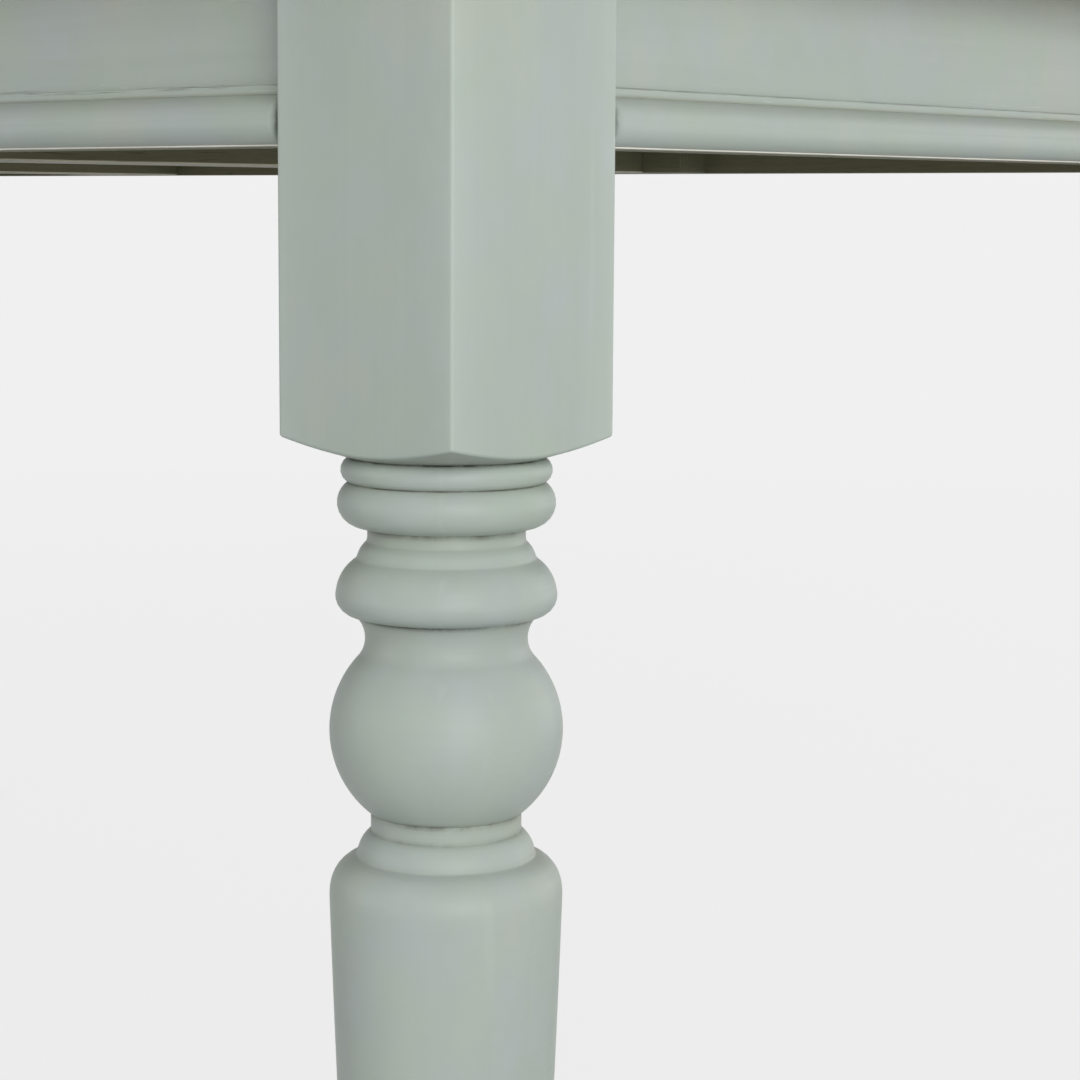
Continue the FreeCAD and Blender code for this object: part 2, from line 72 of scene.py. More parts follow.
# Steps down a leg's turning: end radius, height, then the radius of the bow and its share of the height
LEG_BEADS = [
    (0.0394, 0.0100, 0.0426, 0.52),
    (0.0319, 0.0177, 0.0440, 0.47),
    (0.0319, 0.0062),
]
LEG_CUSHION = [
    (0.0362, 0.0071, 0.03487, 0.46),
    (0.0445, 0.0126, 0.04141, 0.38),
    (0.0371, 0.0103, 0.0428, 0.73),
    (0.0352, 0.0167, 0.0329, 0.56),
]
LEG_BALL = [
    (0.0307, 0.0645, 0.0474, 0.475),
    (0.0307, 0.0075),
]
LEG_SHOULDER = [
    (0.0363, 0.0104, 0.0349, 0.46),
    (0.0478, 0.0122, 0.0438, 0.34),
]
LEG_TAPER = (0.0365, 0.04305, 0.50)
LEG_FOOT = [
    (0.0305, 0.0120, 0.0405, 0.50),
    (0.0305, 0.0060),
    (0.0280, 0.0740, 0.0400, 0.40),
    (0.0280, 0.0050),
]
# What the flat for the bolts takes off each face at a block's inner corner, and the least cosine towards it
BOLT_FLAT = 0.0170
LEAST_FACING = 0.05
# Paler paint along the block's upright edges: its strength and how far it reaches
EDGE_PALING = 0.34
EDGE_REACH = 0.008
# Joints of the turning, counted down from the pommel: the share of darkening, partly dirt and partly painted
# shade, that lies in a crease and the width of the crease; the painted shade down the cone under the block
# and the crease at its foot; and the joints that paint fills
LEG_CREASES = {0: (1.0, 0.0012), 1: (0.85, 0.0004), 2: (0.88, 0.0019), 6: (0.95, 0.0017), 8: (0.72, 0.0014),
               9: (0.35, 0.0004)}
LEG_CONE_SHADE = 0.75
LEG_CONE_CREASE = 0.3
LEG_SOFT_JOINTS = [3, 4, 7, 10, 11]
# Width and reach of the softening there, and of a wider one where the shoulder runs into the taper
PAINT_FILL = (0.0014, 0.0045)
SHOULDER_JOINT = [11]
SHOULDER_FLOW = (0.0050, 0.0120)
# Reach and depth that count as a groove, and the run of the cone that counts with the first one
LEG_HOLLOW = (0.0060, 0.0035)
LEG_CONE_RUN = 0.012
# Rows over the eased edge of the block and down the cone, and the distance between the turning's points
LEG_EDGE_ROWS = 6
LEG_CONE_ROWS = 9
LEG_SPACING = 0.0010
# Finer columns to either side of each upright edge of the block
LEG_EDGE_FAN = np.radians(np.linspace(-3, 3, 13))


class LegSizes(bpy.types.PropertyGroup):
    """Sizes of the turned legs."""

    block_side: FloatProperty(
        name="Block side", description="Side of the square block",
        default=0.095, unit="LENGTH")
    block_length: FloatProperty(
        name="Block length", description="Height of the square block",
        default=0.1986, unit="LENGTH")
    block_corner: FloatProperty(
        name="Block corner", description="Rounding of the block's upright edges",
        default=0.0014, unit="LENGTH")
    pommel_height: FloatProperty(
        name="Pommel height", description="Height of the cone under the block",
        default=0.0082, unit="LENGTH")
    pommel_radius: FloatProperty(
        name="Pommel radius", description="Radius where the cone meets the upper bead",
        default=0.0389, unit="LENGTH")
    pommel_edge: FloatProperty(
        name="Pommel edge", description="Rounding between the block's faces and the cone",
        default=0.0014, unit="LENGTH")
    columns: IntProperty(name="Columns", description="Grid columns round a leg", default=176, min=24)


class BoardSizes(bpy.types.PropertyGroup):
    """Easing of the boards' edges."""

    top_edge: FloatProperty(
        name="Top edge", description="Rounding of the top's outer edges",
        default=0.003, unit="LENGTH")
    joint_edge: FloatProperty(
        name="Joint edge", description="Easing where two boards of the top meet",
        default=0.0008, unit="LENGTH")
    apron_edge: FloatProperty(
        name="Apron edge", description="Easing of the aprons' edges",
        default=0.0002, unit="LENGTH")
    bare_edge: FloatProperty(
        name="Bare edge", description="Easing of the unpainted boards' edges",
        default=0.0008, unit="LENGTH")
    drawer_edge: FloatProperty(
        name="Drawer edge", description="Easing of the drawers' edges",
        default=0.0005, unit="LENGTH")
    strip_end: FloatProperty(
        name="Strip end", description="Rounding of the ends of the moulding strips",
        default=0.0030, unit="LENGTH")


class Finishes(bpy.types.PropertyGroup):
    """Colours of the paint, the woods and the fittings."""

    paint: FloatVectorProperty(
        name="Paint", description="Sage paint",
        subtype="COLOR", min=0, max=1, default=(0.429, 0.488, 0.440))
    # Pale lip of the moulding: partly worn undercoat, partly a painted highlight of the edge lit from below
    undercoat_and_highlight: FloatVectorProperty(
        name="Undercoat", description="Pale coat on the moulding's lip",
        subtype="COLOR", min=0, max=1, default=(0.86, 0.85, 0.76))
    # Darker paint in the grooves: partly settled paint and dirt, partly painted shade in the hollows
    glaze_and_shade: FloatVectorProperty(
        name="Glaze", description="Paint settled and soiled in the grooves",
        subtype="COLOR", min=0, max=1, default=(0.245, 0.245, 0.170))
    # Near-black in the sharpest creases and along the moulding's top: partly dirt, partly painted shade
    soil_and_shade: FloatVectorProperty(
        name="Soil", description="Dirt in the sharpest creases",
        subtype="COLOR", min=0, max=1, default=(0.045, 0.045, 0.032))
    oak_light: FloatVectorProperty(
        name="Oak, early wood", description="Paler rings of the oak",
        subtype="COLOR", min=0, max=1, default=(0.50, 0.325, 0.165))
    oak_dark: FloatVectorProperty(
        name="Oak, late wood", description="Darker rings of the oak",
        subtype="COLOR", min=0, max=1, default=(0.30, 0.165, 0.070))
    # The unpainted wood inside the frame and under the aprons is dark partly as painted shade
    bare_light_shaded: FloatVectorProperty(
        name="Bare wood, early", description="Paler rings of the unpainted wood",
        subtype="COLOR", min=0, max=1, default=(0.184, 0.192, 0.126))
    bare_dark_shaded: FloatVectorProperty(
        name="Bare wood, late", description="Darker rings of the unpainted wood",
        subtype="COLOR", min=0, max=1, default=(0.156, 0.161, 0.104))
    # Pale corners of the unpainted boards: partly rubbed wood, partly a painted highlight of the edges lit
    # from below
    bare_rubbed_and_highlight: FloatVectorProperty(
        name="Bare wood, rubbed", description="Rubbed edges of the unpainted wood",
        subtype="COLOR", min=0, max=1, default=(0.80, 0.79, 0.62))
    ply_light: FloatVectorProperty(
        name="Drawer wood, early", description="Paler rings of the drawers' wood",
        subtype="COLOR", min=0, max=1, default=(0.60, 0.46, 0.29))
    ply_dark: FloatVectorProperty(
        name="Drawer wood, late", description="Darker rings of the drawers' wood",
        subtype="COLOR", min=0, max=1, default=(0.44, 0.31, 0.17))
    zinc: FloatVectorProperty(
        name="Zinc", description="Plated screws and bolts",
        subtype="COLOR", min=0, max=1, default=(0.56, 0.56, 0.54))
    nylon: FloatVectorProperty(
        name="Nylon", description="Glides under the feet",
        subtype="COLOR", min=0, max=1, default=(0.055, 0.050, 0.045))


class StageSettings(bpy.types.PropertyGroup):
    """Camera, lamps and floor."""

    camera_place: FloatVectorProperty(
        name="Camera place", description="Where the camera stands",
        subtype="TRANSLATION", unit="LENGTH", default=(1.5092, -1.1271, 0.6274))
    camera_heading: FloatProperty(
        name="Heading", description="Turn from straight ahead",
        subtype="ANGLE", default=math.radians(41.24))
    camera_dip: FloatProperty(
        name="Dip", description="Tilt below the horizon",
        subtype="ANGLE", default=math.radians(7.42))
    camera_roll: FloatProperty(
        name="Roll", description="Turn about the line of sight",
        subtype="ANGLE", default=math.radians(0.35))
    camera_lens: FloatProperty(
        name="Lens", description="Focal length in millimetres on a 36 mm sensor",
        default=86.43)
    backdrop: FloatVectorProperty(
        name="Backdrop", description="Colour of the floor and the room as seen",
        subtype="COLOR", min=0, max=1, default=(0.871, 0.871, 0.871))
    room_light: FloatProperty(name="Room light", description="Even light from all round", default=0.30)
    floor_shadow: FloatProperty(
        name="Floor shadow", description="How strongly the floor shows shadows",
        subtype="FACTOR", min=0, max=1, default=0.08)
    foot_shadow: FloatProperty(
        name="Foot shadow", description="How strongly the floor by a foot shows shadows",
        subtype="FACTOR", min=0, max=1, default=0.55)
    floor_level: FloatProperty(
        name="Floor level", description="Share of the backdrop that the open floor gives back",
        subtype="FACTOR", min=0, max=1, default=0.83)
    floor_radius: FloatProperty(
        name="Floor radius", description="How far the floor reaches",
        default=40.0, unit="LENGTH")


def settings(name):
    """A property group of the scene."""
    return getattr(bpy.context.scene, name)


# Meshes

# Share of an edge's rounding by which a further row of points stands off it
HOLD = 0.35
# Edges that turn more than this stay sharp
SHARP_TURN = math.radians(35)
# Points along an arc of a turning, fewest and most, and along a straight step
ARC_POINTS = (7, 44)
STRAIGHT_POINTS = 5
# Share of a joint's softening that is left far from it
FAR_SOFTENING = 0.02


def new_object(name, data):
    """An object in the scene."""
    item = bpy.data.objects.new(name, data)
    bpy.context.scene.collection.objects.link(item)
    return item


def add_layers(mesh, layers):
    """Gives the points of a mesh a number or a place each, by name."""
    for key, values in layers.items():
        place = values.ndim == 2
        layer = mesh.attributes.new(key, "FLOAT_VECTOR" if place else "FLOAT", "POINT")
        layer.data.foreach_set("vector" if place else "value", values.astype(np.float32).ravel())


def new_piece(name, points, faces, layers=None):
    """A mesh object of points and faces, its faces turned outwards, smooth except at its sharp edges.

    layers maps a name to one number, or to one place, for each point."""
    mesh = bpy.data.meshes.new(name)
    mesh.from_pydata(points.tolist(), [], faces)
    add_layers(mesh, layers or {})
    work = bmesh.new()
    work.from_mesh(mesh)
    bmesh.ops.recalc_face_normals(work, faces=work.faces)
    work.to_mesh(mesh)
    work.free()
    mesh.polygons.foreach_set("use_smooth", np.ones(len(mesh.polygons), bool))
    mesh.set_sharp_from_angle(angle=SHARP_TURN)
    return new_object(name, mesh)


def tube_faces(rows, columns, first=0):
    """Quads of a grid whose rows close on themselves, and one many-sided face over each end."""
    row = np.arange(rows - 1)[:, None] * columns
    here = np.arange(columns)[None, :]
    there = (here + 1) % columns
    quads = np.stack([row + here, row + there, row + there + columns, row + here + columns], -1)
    ends = [np.arange(columns)[::-1], np.arange(columns) + (rows - 1) * columns]
    return (quads.reshape(-1, 4) + first).tolist() + [(end + first).tolist() for end in ends]


def grid_piece(name, points, layers):
    """A piece from a grid of points whose rows close on themselves, with a number for each point by name."""
    layers = {key: values.ravel() for key, values in layers.items()}
    return new_piece(name, points.reshape(-1, 3), tube_faces(*points.shape[:2]), layers)


def closer_at_ends(count):
    """Numbers from 0 to 1 that lie closer together near both ends: half of one less a cosine."""
    return 0.5 - 0.5 * np.cos(np.linspace(0, np.pi, count))


def arc(start, bow, end, count):
    """Points of the circle through three points, from the first by way of the second to the last.

    Its centre is equally far from all three, which is a pair of linear equations."""
    a, b, c = (np.array(p, float) for p in (start, bow, end))
    centre = np.linalg.solve(2 * np.array([b - a, c - a]), np.array([b @ b - a @ a, c @ c - a @ a]))
    spokes = np.array([a, b, c]) - centre
    turns = np.unwrap(np.arctan2(spokes[:, 1], spokes[:, 0]))
    angle = turns[0] + (turns[2] - turns[0]) * closer_at_ends(count)
    return centre + np.hypot(*spokes[0]) * np.column_stack([np.cos(angle), np.sin(angle)])


def turned_profile(top, start_radius, steps, spacing):
    """Radius and height down a turning, and the row of each joint between its steps.

    Each step is a straight line, or the arc through its bow."""
    points = [np.array([[start_radius, top]])]
    joints = [0]
    for end_radius, height, *bow in steps:
        radius, level = points[-1][-1]
        count = int(np.clip(height / spacing, *ARC_POINTS))
        end = (end_radius, level - height)
        if bow:
            line = arc((radius, level), (bow[0], level - height * bow[1]), end, count)
        else:
            line = np.linspace((radius, level), end, STRAIGHT_POINTS)
        points.append(line[1:])
        joints.append(joints[-1] + len(line) - 1)
    return np.concatenate(points), np.array(joints)


def run_of(profile):
    """Length along a profile up to each of its points."""
    return np.concatenate([[0], np.cumsum(np.hypot(*np.diff(profile, axis=0).T))])


def bell_mean(profile, width):
    """For each point of a profile, the mean of its neighbours, weighted by a bell of this width along it."""
    run = run_of(profile)
    weight = np.exp(-((run[:, None] - run[None, :]) / width) ** 2) * np.gradient(run)[None, :]
    return (weight @ profile) / weight.sum(1)[:, None]


def softened(profile, rows, width, reach):
    """A profile whose joints at these rows are rounded by thick paint: each point moves to the mean under a
    bell whose width fades with the distance from the joint."""
    run = run_of(profile)
    off = (run[:, None] - run[rows][None, :]) / reach
    bell = width * np.maximum(np.exp(-off**2).max(1), FAR_SOFTENING)
    return bell_mean(profile, bell[:, None])


def marks_at(profile, joints, creases):
    """Lines at some of a profile's joints, 0 to 1: the tallest of the bells that stand on them."""
    run = run_of(profile)
    shares, widths = np.array(list(creases.values())).T
    off = (run[:, None] - run[joints[list(creases)]][None, :]) / widths[None, :]
    return (np.exp(-(off**2)) * shares[None, :]).max(1)


def hollow_of(profile, reach, depth):
    """How deep each point of a turning lies in a groove, 0 to 1: the mean radius near it less its own."""
    inward = (bell_mean(profile, reach) - profile)[:, 0]
    return np.clip(inward / depth, 0, 1)


def off_face(angle):
    """Angle from the normal of the nearest of a block's four faces."""
    return np.abs((angle + np.pi / 4) % (np.pi / 2) - np.pi / 4)


def squared_reach(angle, half, corner):
    """Distance from the axis to a square with round corners.

    It is half over the cosine of the angle from a face's normal, and past the face's end that of the corner's
    circle."""
    turn = off_face(angle)
    lean = np.pi / 4 - turn
    centre = np.sqrt(2) * (half - corner)
    rounded = centre * np.cos(lean) + np.sqrt(np.maximum(corner**2 - (centre * np.sin(lean)) ** 2, 0))
    return np.where(half * np.tan(turn) > half - corner, rounded, half / np.cos(turn))


def bent(start, corner, end, steps):
    """A soft corner: the quadratic curve from start to end that the corner pulls, as rows of points."""
    t = np.linspace(0, 1, steps)[:, None]
    return (1 - t) ** 2 * start + 2 * t * (1 - t) * corner + t**2 * end


def leg_angles(columns):
    """Angles round the axis: even ones, and finer ones over the block's four upright edges."""
    even = np.arange(columns) * 2 * np.pi / columns
    edges = (np.arange(4) * np.pi / 2 + np.pi / 4)[:, None] + LEG_EDGE_FAN[None, :]
    return np.unique(np.round(np.concatenate([even, edges.ravel()]) % (2 * np.pi), 5))


def leg_surface(sizes, inward):
    """A leg on its own axis, as a grid of rows down the leg and columns round it.

    The radius is that of the rounded square on the block, then of a cone that cuts the block's faces along
    curves, then of the turning. Where the block stands inside the frame, a flat across its inner corner takes
    the bolts. Returns the points, and for each point the groove's depth, the crease, whether it is turned and
    how near it lies to an edge of the block."""
    angle = leg_angles(sizes.columns)
    half = sizes.block_side / 2
    top, foot = LEG_HIGH.z, LEG_LOW.z
    block_end = top - sizes.block_length
    square = squared_reach(angle, half, sizes.block_corner)
    reach = np.sqrt(2) * half
    slope = sizes.pommel_height / (reach - sizes.pommel_radius)
    edge = block_end - (reach - square) * slope
    facing = np.maximum(np.cos(angle - inward), LEAST_FACING)
    flat = (reach - BOLT_FLAT / np.sqrt(2)) / facing
    framed = np.minimum(square, flat)
    easing = sizes.pommel_edge
    level = np.ones_like(angle)
    start_z, corner_z = edge + easing, edge
    end_r = square - easing
    end_z = edge - easing * slope
    block_r = np.array([framed, framed, square, square])
    block_z = np.array([top * level, APRON_BOTTOM * level, APRON_BOTTOM * level, start_z])
    soft_r = bent(square, square, end_r, LEG_EDGE_ROWS)[1:]
    soft_z = bent(start_z, corner_z, end_z, LEG_EDGE_ROWS)[1:]
    down = np.linspace(0, 1, LEG_CONE_ROWS)[1:-1, None]
    cone_r = end_r + (sizes.pommel_radius - end_r) * down
    cone_z = end_z + (block_end - sizes.pommel_height - end_z) * down
    steps = LEG_BEADS + LEG_CUSHION + LEG_BALL + LEG_SHOULDER
    used = sizes.pommel_height + sum(step[1] for step in steps + LEG_FOOT)
    taper_end, taper_bow, taper_share = LEG_TAPER
    steps = steps + [(taper_end, block_end - used - foot, taper_bow, taper_share)] + LEG_FOOT
    cone_end = block_end - sizes.pommel_height
    turning, joints = turned_profile(cone_end, sizes.pommel_radius, steps, LEG_SPACING)
    # Creases are darkened with dirt and painted shade
    crease = marks_at(turning, joints, LEG_CREASES)
    turning = softened(turning, joints[LEG_SOFT_JOINTS], *PAINT_FILL)
    turning = softened(turning, joints[SHOULDER_JOINT], *SHOULDER_FLOW)
    approach = np.array([[sizes.pommel_radius + LEG_CONE_RUN, cone_end + LEG_CONE_RUN * slope]])
    groove = hollow_of(np.concatenate([approach, turning]), *LEG_HOLLOW)[1:]
    rows_r = np.concatenate([block_r, soft_r, cone_r, turning[:, :1] * level])
    rows_z = np.concatenate([block_z, soft_z, cone_z, turning[:, 1:] * level])
    points = np.stack([rows_r * np.cos(angle), rows_r * np.sin(angle), rows_z], -1)
    ahead = len(rows_r) - len(turning)
    # The cone is painted darker towards its foot as painted shade under the block; below it the grooves and
    # creases are darkened with dirt and painted shade
    cone_shade = np.linspace(0, LEG_CONE_SHADE, len(cone_r))
    hollow = np.concatenate([np.zeros(ahead - len(cone_r)), cone_shade, groove])[:, None] * level
    creased = np.concatenate([np.zeros(ahead - 1), [LEG_CONE_CREASE], crease])[:, None] * level
    turned = np.concatenate([np.zeros(ahead), np.ones(len(turning))])[:, None] * level
    off_edge = (np.pi / 4 - off_face(angle)) * reach
    near = EDGE_PALING * np.exp(-off_edge / EDGE_REACH)[None, :] * (1 - turned)
    return points, {"groove": hollow, "crease": creased, "turned": turned, "near_edge": near}


# Points of a soft corner, with the two that stand off it
CORNER_STEPS = 5
ROUNDED_CORNER = np.array([0.0] + [1.0] * CORNER_STEPS + [0.0])


def rounded_outline(corners, radius):
    """A closed outline whose corners are soft.

    Near each corner the line turns off a radius before it and joins the next side a radius after it, along a
    quadratic curve. One more point on each side keeps the flats flat."""
    here = np.array(corners, float)
    before, after = np.roll(here, 1, 0), np.roll(here, -1, 0)
    radius = np.broadcast_to(np.array(radius, float), len(here))[:, None]
    back = (before - here) / np.linalg.norm(before - here, axis=1)[:, None] * radius
    ahead = (after - here) / np.linalg.norm(after - here, axis=1)[:, None] * radius
    start, end = here + back, here + ahead
    curve = bent(start.ravel(), here.ravel(), end.ravel(), CORNER_STEPS).reshape(CORNER_STEPS, -1, 2)
    whole = np.concatenate([[start + HOLD * back], curve, [end + HOLD * ahead]])
    return whole.swapaxes(0, 1).reshape(-1, 2)


def eased_stations(low, high, radius, steps=5, middle=2):
    """Places along a path, and how far the section draws in there: by a quarter round at each end."""
    turn = np.linspace(0, np.pi / 2, steps)
    ease, inset = radius * (1 - np.cos(turn)), radius * (1 - np.sin(turn))
    reach = radius * (1 + HOLD)
    between = np.linspace(low + reach, high - reach, middle + 2)
    along = np.concatenate([low + ease, between, (high - ease)[::-1]])
    insets = np.concatenate([inset, np.zeros(middle + 2), inset[::-1]])
    return along, insets


def other_axes(axis):
    """The two axes beside one, in their order."""
    return [i for i in range(3) if i != axis]


def carried(sections, along, axis):
    """Sections, one outline for each place along an axis, as points.

    The outline's two numbers go to the other two axes in their order."""
    points = np.empty(sections.shape[:2] + (3,))
    across, up = other_axes(axis)
    points[..., axis] = along[:, None]
    points[..., across] = sections[..., 0]
    points[..., up] = sections[..., 1]
    return points


def drawn_in(outline, insets, free):
    """An outline for each inset, held inside its own box less the inset on the sides that are free."""
    low, high = outline.min(0), outline.max(0)
    low_free, high_free = np.array(free[:2], float), np.array(free[2:], float)
    lows = low + insets[:, None] * low_free
    highs = high - insets[:, None] * high_free
    return np.clip(outline[None], lows[:, None], highs[:, None])


# Where the pith may lie from a board: how much it leans, its share of the board's width aside, how far it is
# below, and how far up or down the trunk the board may be cut
PITH_LEAN = 0.022
PITH_ASIDE = 0.45
PITH_BELOW = (0.012, 0.055)
TRUNK_REACH = 9.0


def log_places(points, axis, seed):
    """Where each point of a board lay in its log: along the trunk, then across and up from the pith.

    The pith lies below or beside the board and leans a little to its length, so that the rings come out as
    long arches on the faces. The seed moves it from board to board and also gives the board a tone."""
    draw = np.random.default_rng(seed)
    low, high = points.min(0), points.max(0)
    across, up = other_axes(axis)
    along = points[:, axis] - (low[axis] + high[axis]) / 2
    width, depth = high[across] - low[across], high[up] - low[up]
    lean = draw.uniform(-PITH_LEAN, PITH_LEAN, 2)
    aside = draw.uniform(-PITH_ASIDE, PITH_ASIDE) * max(width, depth)
    below = draw.uniform(*PITH_BELOW)
    places = np.column_stack([
        along + draw.uniform(-TRUNK_REACH, TRUNK_REACH),
        points[:, across] - (low[across] + high[across]) / 2 - aside - lean[0] * along,
        points[:, up] - low[up] + below - lean[1] * along,
    ])
    return {"log": places, "tone": np.full(len(points), draw.uniform(-1, 1))}


def board_piece(name, node, axis, radius, seed, end_radius=None, free=(True, True, True, True)):
    """A board in a node's box: a rectangle with soft corners carried along its grain, its ends eased.

    The radius is one number, or one for each corner and then another for the ends. The ends draw in on the
    sides that are free."""
    low, high = (np.array(corner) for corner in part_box(node))
    a, b = other_axes(axis)
    corners = [(low[a], low[b]), (high[a], low[b]), (high[a], high[b]), (low[a], high[b])]
    outline = rounded_outline(corners, radius)
    along, insets = eased_stations(low[axis], high[axis], end_radius or radius)
    points = carried(drawn_in(outline, insets, free), along, axis).reshape(-1, 3)
    faces = tube_faces(len(along), len(outline))
    layers = log_places(points, axis, seed)
    layers["rubbed"] = np.tile(ROUNDED_CORNER, len(corners) * len(along))
    piece = new_piece(name, points, faces, layers)
    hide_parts(node)
    return piece


# Distance at which points are joined, the turns under which faces are one flat and past which an edge is
# eased, and the faces across an eased edge
JOIN_DISTANCE = 1e-6
FLAT_TURN = math.radians(1)
EASED_TURN = math.radians(40)
EASED_FACES = 2


def eased_copy(name, node, axis, width, seed):
    """A node's own solid with its edges eased.

    Its triangles are joined, the lines on its flats are cleared and its edges are bevelled."""
    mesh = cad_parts[node].data.copy()
    mesh.name = name
    work = bmesh.new()
    work.from_mesh(mesh)
    bmesh.ops.remove_doubles(work, verts=work.verts, dist=JOIN_DISTANCE)
    bmesh.ops.dissolve_limit(work, angle_limit=FLAT_TURN, verts=work.verts, edges=work.edges)
    work.to_mesh(mesh)
    work.free()
    mesh.attributes.remove(mesh.attributes["custom_normal"])
    mesh.polygons.foreach_set("use_smooth", np.zeros(len(mesh.polygons), bool))
    points = np.empty(len(mesh.vertices) * 3)
    mesh.vertices.foreach_get("co", points)
    add_layers(mesh, log_places(points.reshape(-1, 3), axis, seed))
    mesh.materials.clear()
    piece = new_object(name, mesh)
    bevel = piece.modifiers.new("Eased edges", "BEVEL")
    bevel.width = width
    bevel.segments = EASED_FACES
    bevel.limit_method = "ANGLE"
    bevel.angle_limit = EASED_TURN
    bevel.harden_normals = False
    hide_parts(node)
    return piece


def finished(piece, body, material):
    """Gives a piece its body and its finish."""
    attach(piece, body)
    piece.data.materials.append(material)


# Materials


class Recipe:
    """A material's node tree, with short calls for the nodes that the finishes share."""

    def __init__(self, name):
        self.material = bpy.data.materials.new(name)
        self.material.use_nodes = True
        self.tree = self.material.node_tree
        self.tree.nodes.clear()
        self.where = self.add("ShaderNodeTexCoord").outputs["Object"]

    def add(self, kind, inputs=None, **values):
        """A node with its values set and its inputs linked or set."""
        node = self.tree.nodes.new(kind)
        for key, value in values.items():
            setattr(node, key, value)
        for key, value in (inputs or {}).items():
            if isinstance(value, bpy.types.NodeSocket):
                self.tree.links.new(value, node.inputs[key])
            else:
                node.inputs[key].default_value = value
        return node

    def math(self, operation, a, b=0.0):
        """One number worked out from one or two numbers or sockets."""
        return self.add("ShaderNodeMath", {0: a, 1: b}, operation=operation).outputs[0]

    def product(self, a, b):
        """Two numbers or sockets multiplied."""
        return self.math("MULTIPLY", a, b)

    def vector(self, operation, a, b=(0.0, 0.0, 0.0)):
        """A node that works on one or two vectors."""
        return self.add("ShaderNodeVectorMath", {0: a, 1: b}, operation=operation)

    def attribute(self, name):
        """A number that the mesh carries."""
        return self.add("ShaderNodeAttribute", attribute_name=name).outputs["Fac"]

    def noise(self, scale, where=None, detail=2.0, roughness=0.5):
        """Noise from 0 to 1 with so many spots to the metre along each axis."""
        mapped = self.add("ShaderNodeMapping", {"Vector": where or self.where, "Scale": scale}).outputs[0]
        return self.add("ShaderNodeTexNoise", {"Vector": mapped, "Scale": 1.0, "Detail": detail,
                                               "Roughness": roughness}).outputs["Fac"]

    def spread(self, value, low, high, to_low=0.0, to_high=1.0):
        """A value's span from low to high brought to another span and held there."""
        return self.add("ShaderNodeMapRange", {"Value": value, "From Min": low, "From Max": high,
                                               "To Min": to_low, "To Max": to_high}).outputs["Result"]

    def mix(self, share, a, b):
        """Two numbers mixed by a share."""
        return self.add("ShaderNodeMix", {0: share, 2: a, 3: b}, data_type="FLOAT").outputs[0]

    def blend(self, share, a, b):
        """Two colours mixed by a share."""
        return self.add("ShaderNodeMix", {0: share, 6: a, 7: b}, data_type="RGBA").outputs[2]

    def bump(self, height, strength, distance):
        """A normal that a height bends."""
        return self.add("ShaderNodeBump", {"Height": height, "Strength": strength,
                                           "Distance": distance}).outputs["Normal"]

    def surface(self, colour, roughness, normal=None, **constants):
        """Closes the recipe with a surface shader."""
        inputs = {"Base Color": colour, "Roughness": roughness}
        inputs.update({key.replace("_", " "): value for key, value in constants.items()})
        if normal is not None:
            inputs["Normal"] = normal
        shader = self.add("ShaderNodeBsdfPrincipled", inputs)
        self.add("ShaderNodeOutputMaterial", {"Surface": shader.outputs[0]})
        return self.material


def tint(colour, factor=1.0, shift=(0.0, 0.0, 0.0)):
    """A colour made lighter or darker and shifted, with an alpha of 1."""
    return tuple(min(1.0, max(0.0, c * factor + s)) for c, s in zip(colour, shift)) + (1.0,)


def stretched(axis, across, along):
    """A scale that is fine across the grain and long along it."""
    return tuple(along if i == axis else across for i in range(3))


# Distance between the rings of the wood, and how far slow and quick noise bend them
RING = 0.0045
RING_SWAY = 0.030
RING_RIPPLE = 0.0028


def wood_figure(recipe, light, dark, ring=RING):
    """Colour and height of sawn wood, from each point's place in its log.

    The distance from the pith, bent by slow noise, counts the rings: each goes gently from early to late wood
    and ends sharply. Fibres streak it along the trunk, short pores pit its early wood, and each board has its
    tone."""
    log = recipe.add("ShaderNodeAttribute", attribute_name="log").outputs["Vector"]
    flat = recipe.vector("MULTIPLY", log, (0.0, 1.0, 1.0)).outputs[0]
    far = recipe.vector("LENGTH", flat).outputs["Value"]
    sway = recipe.noise((1.6, 11.0, 11.0), log, 2.0)
    ripple = recipe.noise((9.0, 60.0, 60.0), log, 2.0)
    bend = recipe.math("ADD", recipe.product(sway, RING_SWAY), recipe.product(ripple, RING_RIPPLE))
    phase = recipe.math("FRACT", recipe.math("DIVIDE", recipe.math("ADD", far, bend), ring))
    late = recipe.product(recipe.spread(phase, 0.15, 0.90), recipe.spread(phase, 1.0, 0.92))
    fibres = recipe.noise((5.0, 520.0, 520.0), log, 3.0, 0.6)
    pores = recipe.noise((42.0, 1700.0, 1700.0), log, 1.0)
    broad = recipe.noise((1.1, 14.0, 14.0), log, 2.0)
    share = recipe.math("ADD", recipe.product(late, 0.50), recipe.product(fibres, 0.55))
    colour = recipe.blend(recipe.spread(share, 0.22, 0.86), tint(light), tint(dark))
    colour = recipe.blend(recipe.spread(broad, 0.35, 0.72, 0.0, 0.30), colour, tint(dark, 1.1))
    tone = recipe.attribute("tone")
    colour = recipe.blend(recipe.spread(tone, 0.0, 1.0, 0.0, 0.36), colour, tint(dark, 1.25))
    colour = recipe.blend(recipe.spread(tone, 0.0, -1.0, 0.0, 0.38), colour, tint(light, 1.08))
    early = recipe.spread(phase, 0.75, 0.05, 0.12, 0.60)
    pitted = recipe.product(recipe.spread(pores, 0.58, 0.70), early)
    colour = recipe.blend(pitted, colour, tint(dark, 0.45))
    height = recipe.math("SUBTRACT", recipe.product(fibres, 0.5), pitted)
    return colour, height


# How far the bare wood under the aprons comes up their lower edges, and how far inside the frame it begins
BARE_EDGE = 0.0002
BARE_MARGIN = 0.0006
